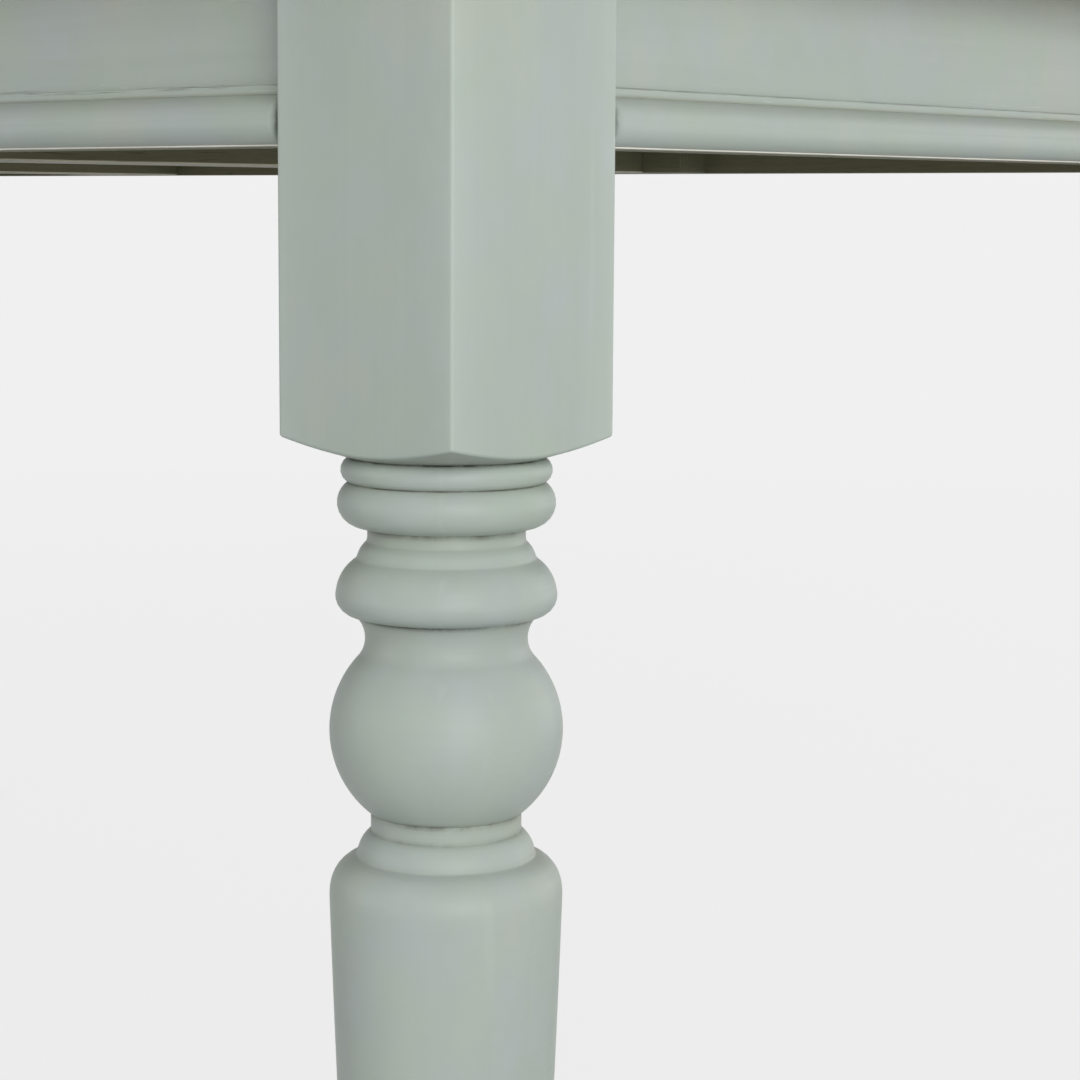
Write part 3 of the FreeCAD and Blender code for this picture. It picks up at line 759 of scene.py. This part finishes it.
# Dark broken line along the top of the moulding, partly dirt in the joint and partly painted shade in the
# corner, for aprons along X and along Y: the height of the band that it lies in, the noise from which it
# shows and at which it is whole, and its strength
SEAM_MARKS = {0: (0.0016, 0.50, 0.66, 0.60), 1: (0.0007, 0.30, 0.55, 0.45)}
# The share of that band in which the dark line is whole, and the band of the pale scratches
SEAM_CORE_SHARE = 0.3
SCRATCH_BAND = (0.0045, 0.003)


def seam_marks(recipe, colour, axis, level):
    """Paint with a dark broken line of dirt and painted shade at a level, and a few pale scratches by it."""
    colours = settings("table_finishes")
    reach, bare, whole, strength = SEAM_MARKS[axis]
    up = recipe.add("ShaderNodeSeparateXYZ", {0: recipe.where}).outputs[2]
    off = recipe.math("ABSOLUTE", recipe.math("SUBTRACT", up, level))
    # The broken dark line: dirt in the joint and painted shade in the corner over the fillet
    flecks = recipe.noise(stretched(axis, 900.0, 30.0), detail=3.0, roughness=0.7)
    band = recipe.spread(off, reach, SEAM_CORE_SHARE * reach)
    line = recipe.product(band, recipe.spread(flecks, bare, whole, 0.0, strength))
    colour = recipe.blend(line, colour, tint(colours.soil_and_shade, 2.0))
    scratches = recipe.noise(stretched(axis, 1300.0, 60.0), detail=2.0)
    shown = recipe.spread(scratches, 0.64, 0.70, 0.0, 0.35)
    pale = recipe.product(recipe.spread(off, *SCRATCH_BAND), shown)
    return recipe.blend(pale, colour, tint(colours.paint, 1.30))


# Strength and depth of the relief of the paint, the woods and the nylon
PAINT_RELIEF = (0.16, 0.0004)
WOOD_RELIEF = (0.25, 0.0004)
NYLON_RELIEF = (0.2, 0.0002)
# Shifts of the paint's hue in its cool, green and beige patches
COOL_SHIFT = (0.006, -0.006, 0.044)
GREEN_SHIFT = (-0.008, 0.008, -0.026)
BEIGE_SHIFT = (0.026, 0.004, -0.006)
# Gloss of the paint and of the bare wood beside it, how much rougher that wood is, and how the paint's relief
# is shared between brush strokes and skin
PAINT_GLOSS = 0.22
INSIDE_GLOSS = 0.06
INSIDE_ROUGHER = 0.15
STROKE_SHARE = 0.7
SKIN_SHARE = 0.3


def sage_paint(name, axis, bare_depth=None, turned=False, seam=None, inside=("bare_light_shaded", "bare_dark_shaded")):
    """Brushed satin paint.

    Strokes run along the axis, or round the leg where it is turned; broad patches drift a little in tone and
    hue; grooves and creases are painted darker, partly settled paint and dirt and partly painted shade, and
    upright edges are painted paler. With bare_depth, the distances of the inner faces from the middle along X
    and Y, what lies inside them is bare wood in the two colours that inside names, by default dark partly as
    painted shade. With seam, the height of the moulding's top, dark marks of dirt and painted shade and pale
    scratches lie along it, and the lip is pale, partly undercoat and partly a painted highlight."""
    colours = settings("table_finishes")
    recipe = Recipe(name)
    paint = tuple(colours.paint)
    strokes = recipe.noise(stretched(axis, 420.0, 9.0), detail=3.0, roughness=0.6)
    if turned:
        around = recipe.noise((14.0, 14.0, 620.0), detail=3.0, roughness=0.6)
        strokes = recipe.mix(recipe.attribute("turned"), strokes, around)
    patches = recipe.noise((16.0, 16.0, 11.0), detail=4.0, roughness=0.62)
    drift = recipe.noise((23.0, 29.0, 19.0), detail=3.0, roughness=0.6)
    bands = recipe.noise(stretched(axis, 75.0, 2.5), detail=2.0)
    streaks = recipe.noise(stretched(axis, 130.0, 4.0), detail=1.0)
    colour = recipe.blend(recipe.spread(patches, 0.30, 0.70), tint(paint, 0.965), tint(paint, 1.03))
    for share, over in (
        (recipe.spread(drift, 0.50, 0.66, 0.0, 0.70), tint(paint, 1.0, COOL_SHIFT)),
        (recipe.spread(drift, 0.48, 0.32, 0.0, 0.60), tint(paint, 1.0, GREEN_SHIFT)),
        (recipe.spread(patches, 0.54, 0.66, 0.0, 0.70), tint(paint, 1.0, BEIGE_SHIFT)),
        (recipe.spread(bands, 0.45, 0.65, 0.0, 0.30), tint(paint, 0.95)),
        (recipe.spread(strokes, 0.45, 0.70, 0.0, 0.14), tint(paint, 0.92)),
        (recipe.spread(streaks, 0.68, 0.76, 0.0, 0.35), tint(paint, 1.09)),
    ):
        colour = recipe.blend(share, colour, over)
    broken = recipe.noise((45.0, 45.0, 45.0), detail=5.0, roughness=0.75)
    # Grooves and creases darkened with dirt and painted shade, and paler paint along the block's upright
    # edges
    for mark, share, over in (
        ("groove", recipe.spread(patches, 0.25, 0.6, 0.45, 0.9), tint(colours.glaze_and_shade)),
        ("crease", recipe.spread(broken, 0.38, 0.58, 0.15, 0.95), tint(colours.soil_and_shade)),
        ("near_edge", recipe.spread(drift, 0.3, 0.65, 0.55, 1.0), tint(paint, 1.35)),
    ):
        colour = recipe.blend(recipe.product(recipe.attribute(mark), share), colour, over)
    if seam:
        colour = seam_marks(recipe, colour, axis, seam)
    skin = recipe.noise((330.0, 330.0, 330.0), detail=2.0)
    height = recipe.math("ADD", recipe.product(strokes, STROKE_SHARE), recipe.product(skin, SKIN_SHARE))
    roughness = recipe.spread(strokes, 0.3, 0.7, 0.40, 0.48)
    gloss = PAINT_GLOSS
    if bare_depth:
        wood_colour, wood_height = wood_figure(recipe, *(getattr(colours, key) for key in inside))
        place = recipe.add("ShaderNodeSeparateXYZ", {0: recipe.where}).outputs
        past = [recipe.math("SUBTRACT", recipe.math("ABSOLUTE", place[i]), bare_depth[i]) for i in range(2)]
        bare = recipe.math("LESS_THAN", recipe.math("MAXIMUM", *past), BARE_MARGIN)
        if seam:
            under = recipe.math("LESS_THAN", place[2], APRON_BOTTOM + BARE_EDGE)
            bare = recipe.math("MAXIMUM", bare, under)
        colour = recipe.blend(bare, colour, wood_colour)
        height = recipe.mix(bare, height, wood_height)
        roughness = recipe.math("ADD", roughness, recipe.product(bare, INSIDE_ROUGHER))
        gloss = recipe.spread(bare, 0.0, 1.0, PAINT_GLOSS, INSIDE_GLOSS)
    # The moulding's lip is paled: partly worn undercoat, partly a painted highlight of its edge lit from
    # below
    if seam:
        rubbed = recipe.product(recipe.attribute("rubbed"), recipe.spread(drift, 0.3, 0.65, 0.70, 1.0))
        colour = recipe.blend(rubbed, colour, tint(colours.undercoat_and_highlight))
    return recipe.surface(colour, roughness, recipe.bump(height, *PAINT_RELIEF), Specular_IOR_Level=gloss)


def plain_wood(name, light, dark, roughness, ring=RING, gloss=0.30, rubbed=None):
    """Sawn and sanded wood; given a colour, its soft corners turn pale: rubbing and a painted highlight."""
    recipe = Recipe(name)
    colour, height = wood_figure(recipe, light, dark, ring)
    if rubbed is not None:
        share = recipe.product(recipe.attribute("rubbed"), recipe.spread(height, -0.4, 0.3, 0.3, 0.9))
        colour = recipe.blend(share, colour, tint(rubbed))
    rough = recipe.spread(height, -0.5, 0.5, roughness + 0.08, roughness - 0.05)
    return recipe.surface(colour, rough, recipe.bump(height, *WOOD_RELIEF), Specular_IOR_Level=gloss)


# Duller zinc, and the darker and paler nylon, as shares of their colours
ZINC_SHADE = 0.86
NYLON_SHADES = (0.8, 1.3)


def zinc_plate():
    """Plated steel: fine spangle in tone and gloss."""
    colours = settings("table_finishes")
    recipe = Recipe("zinc_plate")
    spangle = recipe.noise((900.0, 900.0, 900.0), detail=3.0)
    dull, bright = tint(colours.zinc, ZINC_SHADE), tint(colours.zinc)
    colour = recipe.blend(recipe.spread(spangle, 0.35, 0.65), dull, bright)
    return recipe.surface(colour, recipe.spread(spangle, 0.3, 0.7, 0.26, 0.42), Metallic=1.0)


def moulded_nylon():
    """Dark moulded plastic with a fine grain."""
    colours = settings("table_finishes")
    recipe = Recipe("moulded_nylon")
    grain = recipe.noise((1400.0, 1400.0, 1400.0), detail=2.0)
    colour = recipe.blend(grain, *(tint(colours.nylon, shade) for shade in NYLON_SHADES))
    roughness = recipe.spread(grain, 0.3, 0.7, 0.45, 0.6)
    return recipe.surface(colour, roughness, recipe.bump(grain, *NYLON_RELIEF))


def material(name, make):
    """A material by name, made the first time that it is asked for."""
    return bpy.data.materials.get(name) or make()


def paint_along(axis):
    """Paint brushed along an axis, on boards that are bare inside the frame."""
    name = "sage_paint_" + "xyz"[axis]
    return material(name, lambda: sage_paint(name, axis, (INNER_X, INNER_Y), seam=APRON_BOTTOM + STRIP_TOP))


def wood(name, light, dark, roughness, **values):
    """Sawn wood in two of the finishes' colours."""
    colours = settings("table_finishes")
    pair = [getattr(colours, key) for key in (light, dark)]
    return material(name, lambda: plain_wood(name, *pair, roughness, **values))


def bare_wood():
    """The unpainted wood inside the frame, darkened partly as painted shade."""
    # Its corners are paled, partly rubbed and partly a painted highlight of edges lit from below
    rubbed = settings("table_finishes").bare_rubbed_and_highlight
    return wood("sawn_wood", "bare_light_shaded", "bare_dark_shaded", 0.46, gloss=0.08, rubbed=rubbed)


def drawer_wood():
    """The drawers' pale wood."""
    return wood("drawer_wood", "ply_light", "ply_dark", 0.5, ring=0.003)


# Operators


class TABLE_OT_legs(bpy.types.Operator):
    """Turn the four legs from square blanks and paint them."""

    bl_idname = "table.legs"
    bl_label = "Turned legs"

    def execute(self, context):
        finish = material("sage_paint_legs", lambda: sage_paint("sage_paint_legs", 2, turned=True))
        for corner, (side_x, side_y) in LEG_CORNERS.items():
            inward = math.atan2(-side_y, -side_x)
            points, layers = leg_surface(settings("table_leg"), inward)
            points = points + np.array([side_x * LEG_AXIS_X, side_y * LEG_AXIS_Y, 0])
            piece = grid_piece("turned_leg_" + corner, points, layers)
            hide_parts("leg_" + corner)
            finished(piece, "table", finish)
        return {"FINISHED"}


# Section of the applied moulding, out from the apron and up from its lower edge
STRIP_LIP = (0.0080, 0.0005)
STRIP_LOWER_BOW = (0.0121, 0.0043)
STRIP_CROWN = (0.0130, 0.01071)
STRIP_UPPER_BOW = (0.01072, 0.01724)
STRIP_QUIRK = (0.0035, 0.0206)
STRIP_TOP = 0.0243
# Easing of the fillet and of the foot, how far the darkening of dirt and painted shade reaches from a groove,
# and its shares at the ends, where it is painted shade of the gap by the leg, and in the grooves
STRIP_EASE = 0.0003
STRIP_FOOT_EASE = 0.0001
STRIP_DIRT_AND_SHADE_REACH = 0.0006
STRIP_END_SHADE = 1.0
STRIP_GROOVE_DIRT_AND_SHADE = 0.8
# Share of the lip's height below which a point belongs to it
LIP_MARGIN = 1.01
# Points of each of the bead's arcs, of the fillet's soft corner and of the rounding at a strip's ends, and
# places along a strip
STRIP_ARC_POINTS = 16
STRIP_CORNER_POINTS = 4
STRIP_END_STEPS = 7
STRIP_STATIONS = 60
# Share of the strip's height towards which its ends draw in
STRIP_END_MIDDLE = 0.42


def strip_outline():
    """The moulding's section: a bead of two arcs over a narrow lip, with a fillet above it.

    Also how near each of its points lies to the two grooves of the bead and to the joint with the apron, and
    whether it belongs to the lip."""
    ease = STRIP_EASE
    foot = np.array([[STRIP_LIP[0] - STRIP_FOOT_EASE, 0], [STRIP_LIP[0], STRIP_FOOT_EASE]])
    lower = arc(STRIP_LIP, STRIP_LOWER_BOW, STRIP_CROWN, STRIP_ARC_POINTS)
    upper = arc(STRIP_CROWN, STRIP_UPPER_BOW, STRIP_QUIRK, STRIP_ARC_POINTS)
    fillet_out = STRIP_QUIRK[0]
    corner = np.array([[fillet_out, STRIP_TOP]])
    soft = bent(corner - [0, ease], corner, corner - [ease, 0], STRIP_CORNER_POINTS)
    fillet = corner - np.array([[0, 2 * HOLD * fillet_out], [0, HOLD * fillet_out]])
    back = np.array([[ease, STRIP_TOP], [0, STRIP_TOP - ease], [0, 0]])
    outline = np.concatenate([foot, lower, upper[1:], fillet, soft, back])
    places = np.array([STRIP_LIP, STRIP_QUIRK, (0, STRIP_TOP)])
    near = np.exp(-np.linalg.norm(outline[:, None] - places[None], axis=2) / STRIP_DIRT_AND_SHADE_REACH)
    lip = outline[:, 1] < STRIP_LIP[1] * LIP_MARGIN
    return outline, near[:, :2].max(1), near[:, 2], lip.astype(float)


class TABLE_OT_mouldings(bpy.types.Operator):
    """Lay the beaded strips along the lower edges of the four aprons."""

    bl_idname = "table.mouldings"
    bl_label = "Mouldings"

    def execute(self, context):
        outline, groove, joint, lip = strip_outline()
        sides = {"front": (1, -1), "back": (1, 1), "left": (0, -1), "right": (0, 1)}
        for side, (out_axis, sign) in sides.items():
            low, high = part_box("moulding_" + side)
            face = low[out_axis] if sign > 0 else -high[out_axis]
            axis = 1 - out_axis
            radius = settings("table_boards").strip_end
            along, insets = eased_stations(low[axis], high[axis], radius, STRIP_END_STEPS, STRIP_STATIONS)
            shrink = 1 - insets / STRIP_CROWN[0]
            middle = np.array([0.0, STRIP_TOP * STRIP_END_MIDDLE])
            sections = middle + (outline - middle)[None] * shrink[:, None, None]
            sections[..., 0] = sign * (face + sections[..., 0])
            sections[..., 1] += low.z
            points = carried(sections, along, axis)
            ends = insets[:, None] / insets.max()
            every = np.ones_like(ends)
            # Grooves and the joint are darkened with dirt and painted shade, the ends with painted shade, and
            # the lip is pale, partly undercoat and partly a painted highlight
            layers = {
                "groove": STRIP_GROOVE_DIRT_AND_SHADE * groove * every,
                "rubbed": lip * every,
                "crease": np.maximum(joint, STRIP_END_SHADE * ends),
            }
            piece = grid_piece("beaded_strip_" + side, points, layers)
            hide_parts("moulding_" + side)
            finished(piece, "table", paint_along(axis))
        return {"FINISHED"}


# First seed of each kind of board's place in its log
OAK_LOGS = 40
APRON_LOGS = 60
BEARER_LOGS = 70
BLOCK_LOGS = 80
FRONT_LOGS = 90
DRAWER_LOGS = 100
DRAWER_LOG_STEP = 10
# Easing of the small blocks, as a share of the boards'
BLOCK_EASE_SHARE = 0.7


class TABLE_OT_top(bpy.types.Operator):
    """Glue up the top from its oak boards."""

    bl_idname = "table.top"
    bl_label = "Oak top"

    def execute(self, context):
        sizes = settings("table_boards")
        oak = wood("oiled_oak", "oak_light", "oak_dark", 0.48)
        for number in range(1, BOARD_COUNT + 1):
            first, last = number == 1, number == BOARD_COUNT
            front = sizes.top_edge if first else sizes.joint_edge
            back = sizes.top_edge if last else sizes.joint_edge
            radii = (front, back, back, front)
            piece = board_piece(f"oak_board_{number}", f"top_board_{number}", 0, radii, OAK_LOGS + number,
                                end_radius=sizes.top_edge, free=(first, True, last, True))
            finished(piece, "table", oak)
        return {"FINISHED"}


class TABLE_OT_aprons(bpy.types.Operator):
    """Make the painted aprons and the low rails under the drawers."""

    bl_idname = "table.aprons"
    bl_label = "Aprons"

    def execute(self, context):
        edge = settings("table_boards").apron_edge
        long_boards = ["apron_" + corner for corner in LEG_CORNERS] + ["low_rail_front", "low_rail_back"]
        for axis, nodes in ((0, long_boards), (1, ["end_apron_left", "end_apron_right"])):
            for number, node in enumerate(nodes):
                piece = eased_copy("painted_" + node, node, axis, edge, APRON_LOGS + number)
                finished(piece, "table", paint_along(axis))
        return {"FINISHED"}


class TABLE_OT_inner_frame(bpy.types.Operator):
    """Make the unpainted boards inside the frame: bearers, guides, stops, blocks, braces and buttons."""

    bl_idname = "table.inner_frame"
    bl_label = "Inner frame"

    def execute(self, context):
        edge = settings("table_boards").bare_edge
        for number, side in enumerate(("left", "right")):
            for kind in ("bearer", "guide", "stop"):
                seed = BEARER_LOGS + number
                piece = board_piece(f"{kind}_board_{side}", f"drawer_{kind}_{side}", 1, edge, seed)
                finished(piece, "table", bare_wood())
        blocks = ["bearer_blocks", "top_buttons"] + ["corner_brace_" + corner for corner in LEG_CORNERS]
        for number, node in enumerate(blocks):
            piece = eased_copy("eased_" + node, node, 0, edge * BLOCK_EASE_SHARE, BLOCK_LOGS + number)
            finished(piece, "table", bare_wood())
        return {"FINISHED"}


class TABLE_OT_drawers(bpy.types.Operator):
    """Make the two dovetailed drawers with painted fronts."""

    bl_idname = "table.drawers"
    bl_label = "Drawers"

    def execute(self, context):
        edge = settings("table_boards").drawer_edge
        name = "sage_paint_fronts"
        inside = ("ply_light", "ply_dark")
        paint = material(name, lambda: sage_paint(name, 0, (INNER_X, DRAWER_SHOULDER), inside=inside))
        for number, side in enumerate(("front", "back")):
            body = side + "_drawer"
            piece = eased_copy(f"painted_{body}_front", f"{body}_front", 0, edge, FRONT_LOGS + number)
            finished(piece, body, paint)
            for part, axis in (("side_left", 1), ("side_right", 1), ("back", 0), ("bottom", 0)):
                seed = DRAWER_LOGS + DRAWER_LOG_STEP * number + len(part)
                piece = eased_copy(f"eased_{body}_{part}", f"{body}_{part}", axis, edge, seed)
                finished(piece, body, drawer_wood())
        return {"FINISHED"}


# Turning of a knob, from the face of its head down to the drawer front
KNOB_FACE = 0.0080
KNOB_STEPS = [
    (0.0160, 0.00714, 0.0132, 0.30),
    (0.0075, 0.00986, 0.0140, 0.55),
    (0.0075, 0.0040),
    (0.0110, 0.0070, 0.0084, 0.60),
]
KNOB_COLUMNS = 64
KNOB_SPACING = 0.0006
# Reach and depth that count as a groove of a knob, and the share of darkening there, dirt and painted shade
KNOB_HOLLOW = (0.002, 0.003)
KNOB_DIRT_AND_SHADE = 0.7


class TABLE_OT_knobs(bpy.types.Operator):
    """Turn the knobs of the drawers and paint them."""

    bl_idname = "table.knobs"
    bl_label = "Knobs"

    def execute(self, context):
        finish = material("sage_paint_knobs", lambda: sage_paint("sage_paint_knobs", 1))
        angle = np.arange(KNOB_COLUMNS) * 2 * np.pi / KNOB_COLUMNS
        for side, sign in (("front", -1), ("back", 1)):
            low, high = (np.array(corner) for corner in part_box(f"{side}_drawer_knobs"))
            face = low[1] if sign < 0 else high[1]
            height = high[1] - low[1]
            profile, _ = turned_profile(height, KNOB_FACE, KNOB_STEPS, KNOB_SPACING)
            groove = hollow_of(profile, *KNOB_HOLLOW)
            radius = (high[2] - low[2]) / 2
            middles = (low[0] + radius, high[0] - radius)
            rounds = []
            for middle in middles:
                rows = profile[:, :1] * np.ones_like(angle)
                x = middle + rows * np.cos(angle)
                z = (low[2] + high[2]) / 2 + rows * np.sin(angle)
                y = face - sign * (height - profile[:, 1:]) * np.ones_like(angle)
                rounds.append(np.stack([x, y, z], -1))
            count = rounds[0].shape[0] * rounds[0].shape[1]
            faces = tube_faces(*rounds[0].shape[:2]) + tube_faces(*rounds[0].shape[:2], first=count)
            points = np.concatenate([r.reshape(-1, 3) for r in rounds])
            layers = {"groove": np.tile(np.repeat(groove * KNOB_DIRT_AND_SHADE, len(angle)), len(middles))}
            piece = new_piece(f"turned_{side}_drawer_knobs", points, faces, layers)
            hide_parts(f"{side}_drawer_knobs")
            finished(piece, f"{side}_drawer", finish)
        return {"FINISHED"}


class TABLE_OT_fittings(bpy.types.Operator):
    """Finish the screws, bolts and glides, whose solids stay as they are."""

    bl_idname = "table.fittings"
    bl_label = "Fittings"

    def execute(self, context):
        zinc = material("zinc_plate", zinc_plate)
        nylon = material("moulded_nylon", moulded_nylon)
        screws = ["button_screws", "leg_bolts", "leg_bolt_washers", "leg_bolt_nuts", "brace_screws",
                  "front_drawer_knob_screws", "back_drawer_knob_screws"]
        for names, finish in ((screws, zinc), (["foot_glides"], nylon)):
            for name in names:
                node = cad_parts[name]
                for place in node.material_slots:
                    place.material = finish
        return {"FINISHED"}


# Soft lamps: place, size and watts; and the place that they face
LAMPS = {
    "right_lamp": ((2.35, 2.75, 0.85), 2.8, 22.5),
    "back_lamp": ((1.00, 3.40, 0.85), 2.4, 26.0),
    "near_lamp": ((3.00, -1.75, 1.10), 1.8, 54.5),
    "front_lamp": ((-1.60, -3.00, 0.90), 1.6, 21.0),
    "high_lamp": ((-0.30, 0.20, 3.40), 2.4, 12.0),
    "left_lamp": ((-3.10, 1.20, 1.50), 1.8, 4.0),
}
LAMP_TARGET = (0.0, 0.0, 0.55)
# Points of the floor's rim, the distances from the middle and from a foot over which its own shade fades, and
# its greys as it lights the table and as it is seen
RIM_POINTS = 96
FLOOR_FADE = (1.2, 4.5)
FOOT_FADE = (0.03, 0.22)
FLOOR_GREY = (0.42, 0.42, 0.42)
SEEN_GREY = (0.80, 0.80, 0.80)
WHITE = (1.0, 1.0, 1.0)
SENSOR_WIDTH = 36.0


def soft_lamp(name, place, size, watts):
    """A square soft lamp that faces the middle of the table."""
    lamp = bpy.data.lights.new(name, "AREA")
    lamp.size = size
    lamp.energy = watts
    stand = new_object(name, lamp)
    towards = np.array(LAMP_TARGET) - np.array(place)
    heading = math.atan2(-towards[0], towards[1])
    dip = math.atan2(-towards[2], math.hypot(towards[0], towards[1]))
    turn = Matrix.Rotation(heading, 4, "Z") @ Matrix.Rotation(math.pi / 2 - dip, 4, "X")
    stand.matrix_world = Matrix.Translation(place) @ turn


def seen_share(tree):
    """1 for rays from the camera, from gloss and through glass, and 0 for the rays that light the table."""
    path = tree.nodes.new("ShaderNodeLightPath")
    total = path.outputs["Is Camera Ray"]
    for name in ("Is Glossy Ray", "Is Transmission Ray"):
        both = tree.nodes.new("ShaderNodeMath")
        both.operation = "MAXIMUM"
        tree.links.new(total, both.inputs[0])
        tree.links.new(path.outputs[name], both.inputs[1])
        total = both.outputs[0]
    return total


def pale_room(stage):
    """A world that lights evenly and is seen in the backdrop's colour."""
    world = bpy.data.worlds.new("pale_room")
    bpy.context.scene.world = world
    world.use_nodes = True
    tree = world.node_tree
    tree.nodes.clear()
    light, seen = (tree.nodes.new("ShaderNodeBackground") for _ in range(2))
    light.inputs["Color"].default_value = tint(WHITE)
    light.inputs["Strength"].default_value = stage.room_light
    seen.inputs["Color"].default_value = tint(stage.backdrop)
    mixed = tree.nodes.new("ShaderNodeMixShader")
    tree.links.new(seen_share(tree), mixed.inputs[0])
    tree.links.new(light.outputs[0], mixed.inputs[1])
    tree.links.new(seen.outputs[0], mixed.inputs[2])
    output = tree.nodes.new("ShaderNodeOutputWorld")
    tree.links.new(mixed.outputs[0], output.inputs[0])


def pale_floor(stage):
    """A round floor seen in the backdrop's colour, which near the table also shows its own light and shade.

    Their share falls from the middle of the floor outwards, so the floor meets the backdrop without a line,
    and it is greatest round each foot. What the open floor's own light lacks of the backdrop is made up."""
    turn = np.arange(RIM_POINTS) * 2 * np.pi / RIM_POINTS
    rim = stage.floor_radius * np.column_stack([np.cos(turn), np.sin(turn), 0 * turn])
    floor = new_piece("floor", rim, [list(range(len(rim)))])
    recipe = Recipe("pale_floor")
    far = recipe.vector("LENGTH", recipe.where).outputs["Value"]
    folded = recipe.vector("ABSOLUTE", recipe.where).outputs[0]
    off_foot = recipe.vector("DISTANCE", folded, (LEG_AXIS_X, LEG_AXIS_Y, 0.0)).outputs["Value"]
    by_foot = recipe.spread(off_foot, *FOOT_FADE, stage.foot_shadow, 0.0)
    own = recipe.math("MAXIMUM", recipe.spread(far, *FLOOR_FADE, stage.floor_shadow, 0.0), by_foot)
    seen = seen_share(recipe.tree)
    shade = recipe.blend(seen, tint(FLOOR_GREY), tint(SEEN_GREY))
    matt = recipe.add("ShaderNodeBsdfDiffuse", {"Color": shade})
    rest = recipe.math("SUBTRACT", 1.0, own)
    lacking = recipe.math("SUBTRACT", 1.0, recipe.product(own, stage.floor_level))
    lift = recipe.math("DIVIDE", lacking, rest)
    shown = recipe.add("ShaderNodeEmission", {"Color": tint(stage.backdrop), "Strength": lift})
    share = recipe.product(seen, rest)
    mixed = recipe.add("ShaderNodeMixShader", {0: share, 1: matt.outputs[0], 2: shown.outputs[0]})
    recipe.add("ShaderNodeOutputMaterial", {"Surface": mixed.outputs[0]})
    floor.data.materials.append(recipe.material)


class TABLE_OT_stage(bpy.types.Operator):
    """Set the floor, the lamps, the room's light and the camera."""

    bl_idname = "table.stage"
    bl_label = "Stage"

    def execute(self, context):
        stage = settings("table_stage")
        pale_floor(stage)
        pale_room(stage)
        for name, (place, size, watts) in LAMPS.items():
            soft_lamp(name, place, size, watts)
        camera = bpy.data.cameras.new("camera")
        camera.lens = stage.camera_lens
        camera.sensor_width = SENSOR_WIDTH
        stand = new_object("camera", camera)
        turn = Matrix.Rotation(stage.camera_heading, 4, "Z")
        turn = turn @ Matrix.Rotation(math.pi / 2 - stage.camera_dip, 4, "X")
        turn = turn @ Matrix.Rotation(stage.camera_roll, 4, "Z")
        stand.matrix_world = Matrix.Translation(stage.camera_place) @ turn
        context.scene.camera = stand
        context.scene.view_settings.view_transform = "Standard"
        return {"FINISHED"}


class TABLE_PT_panel(bpy.types.Panel):
    """Lists the table's pieces and settings."""

    bl_idname = "TABLE_PT_panel"
    bl_label = "Kitchen table"
    bl_space_type = "VIEW_3D"
    bl_region_type = "UI"
    bl_category = "Table"

    def draw(self, context):
        for operator in OPERATORS:
            self.layout.operator(operator.bl_idname)
        for group in GROUPS:
            box = self.layout.box()
            for key in GROUPS[group].__annotations__:
                box.prop(getattr(context.scene, group), key)


OPERATORS = [TABLE_OT_legs, TABLE_OT_mouldings, TABLE_OT_top, TABLE_OT_aprons, TABLE_OT_inner_frame,
             TABLE_OT_drawers, TABLE_OT_knobs, TABLE_OT_fittings, TABLE_OT_stage]
GROUPS = {"table_leg": LegSizes, "table_boards": BoardSizes, "table_finishes": Finishes,
          "table_stage": StageSettings}


def register():
    """Registers the classes and hangs the settings on the scene."""
    for cls in [*GROUPS.values(), *OPERATORS, TABLE_PT_panel]:
        bpy.utils.register_class(cls)
    for name, group in GROUPS.items():
        setattr(bpy.types.Scene, name, PointerProperty(type=group))


def unregister():
    """Takes the settings and the classes away again."""
    for name in GROUPS:
        delattr(bpy.types.Scene, name)
    for cls in [TABLE_PT_panel, *reversed(OPERATORS), *GROUPS.values()]:
        bpy.utils.unregister_class(cls)


def main():
    """Builds every piece and the stage."""
    register()
    bpy.ops.table.legs()
    bpy.ops.table.mouldings()
    bpy.ops.table.top()
    bpy.ops.table.aprons()
    bpy.ops.table.inner_frame()
    bpy.ops.table.drawers()
    bpy.ops.table.knobs()
    bpy.ops.table.fittings()
    bpy.ops.table.stage()


if __name__ == "__main__":
    main()
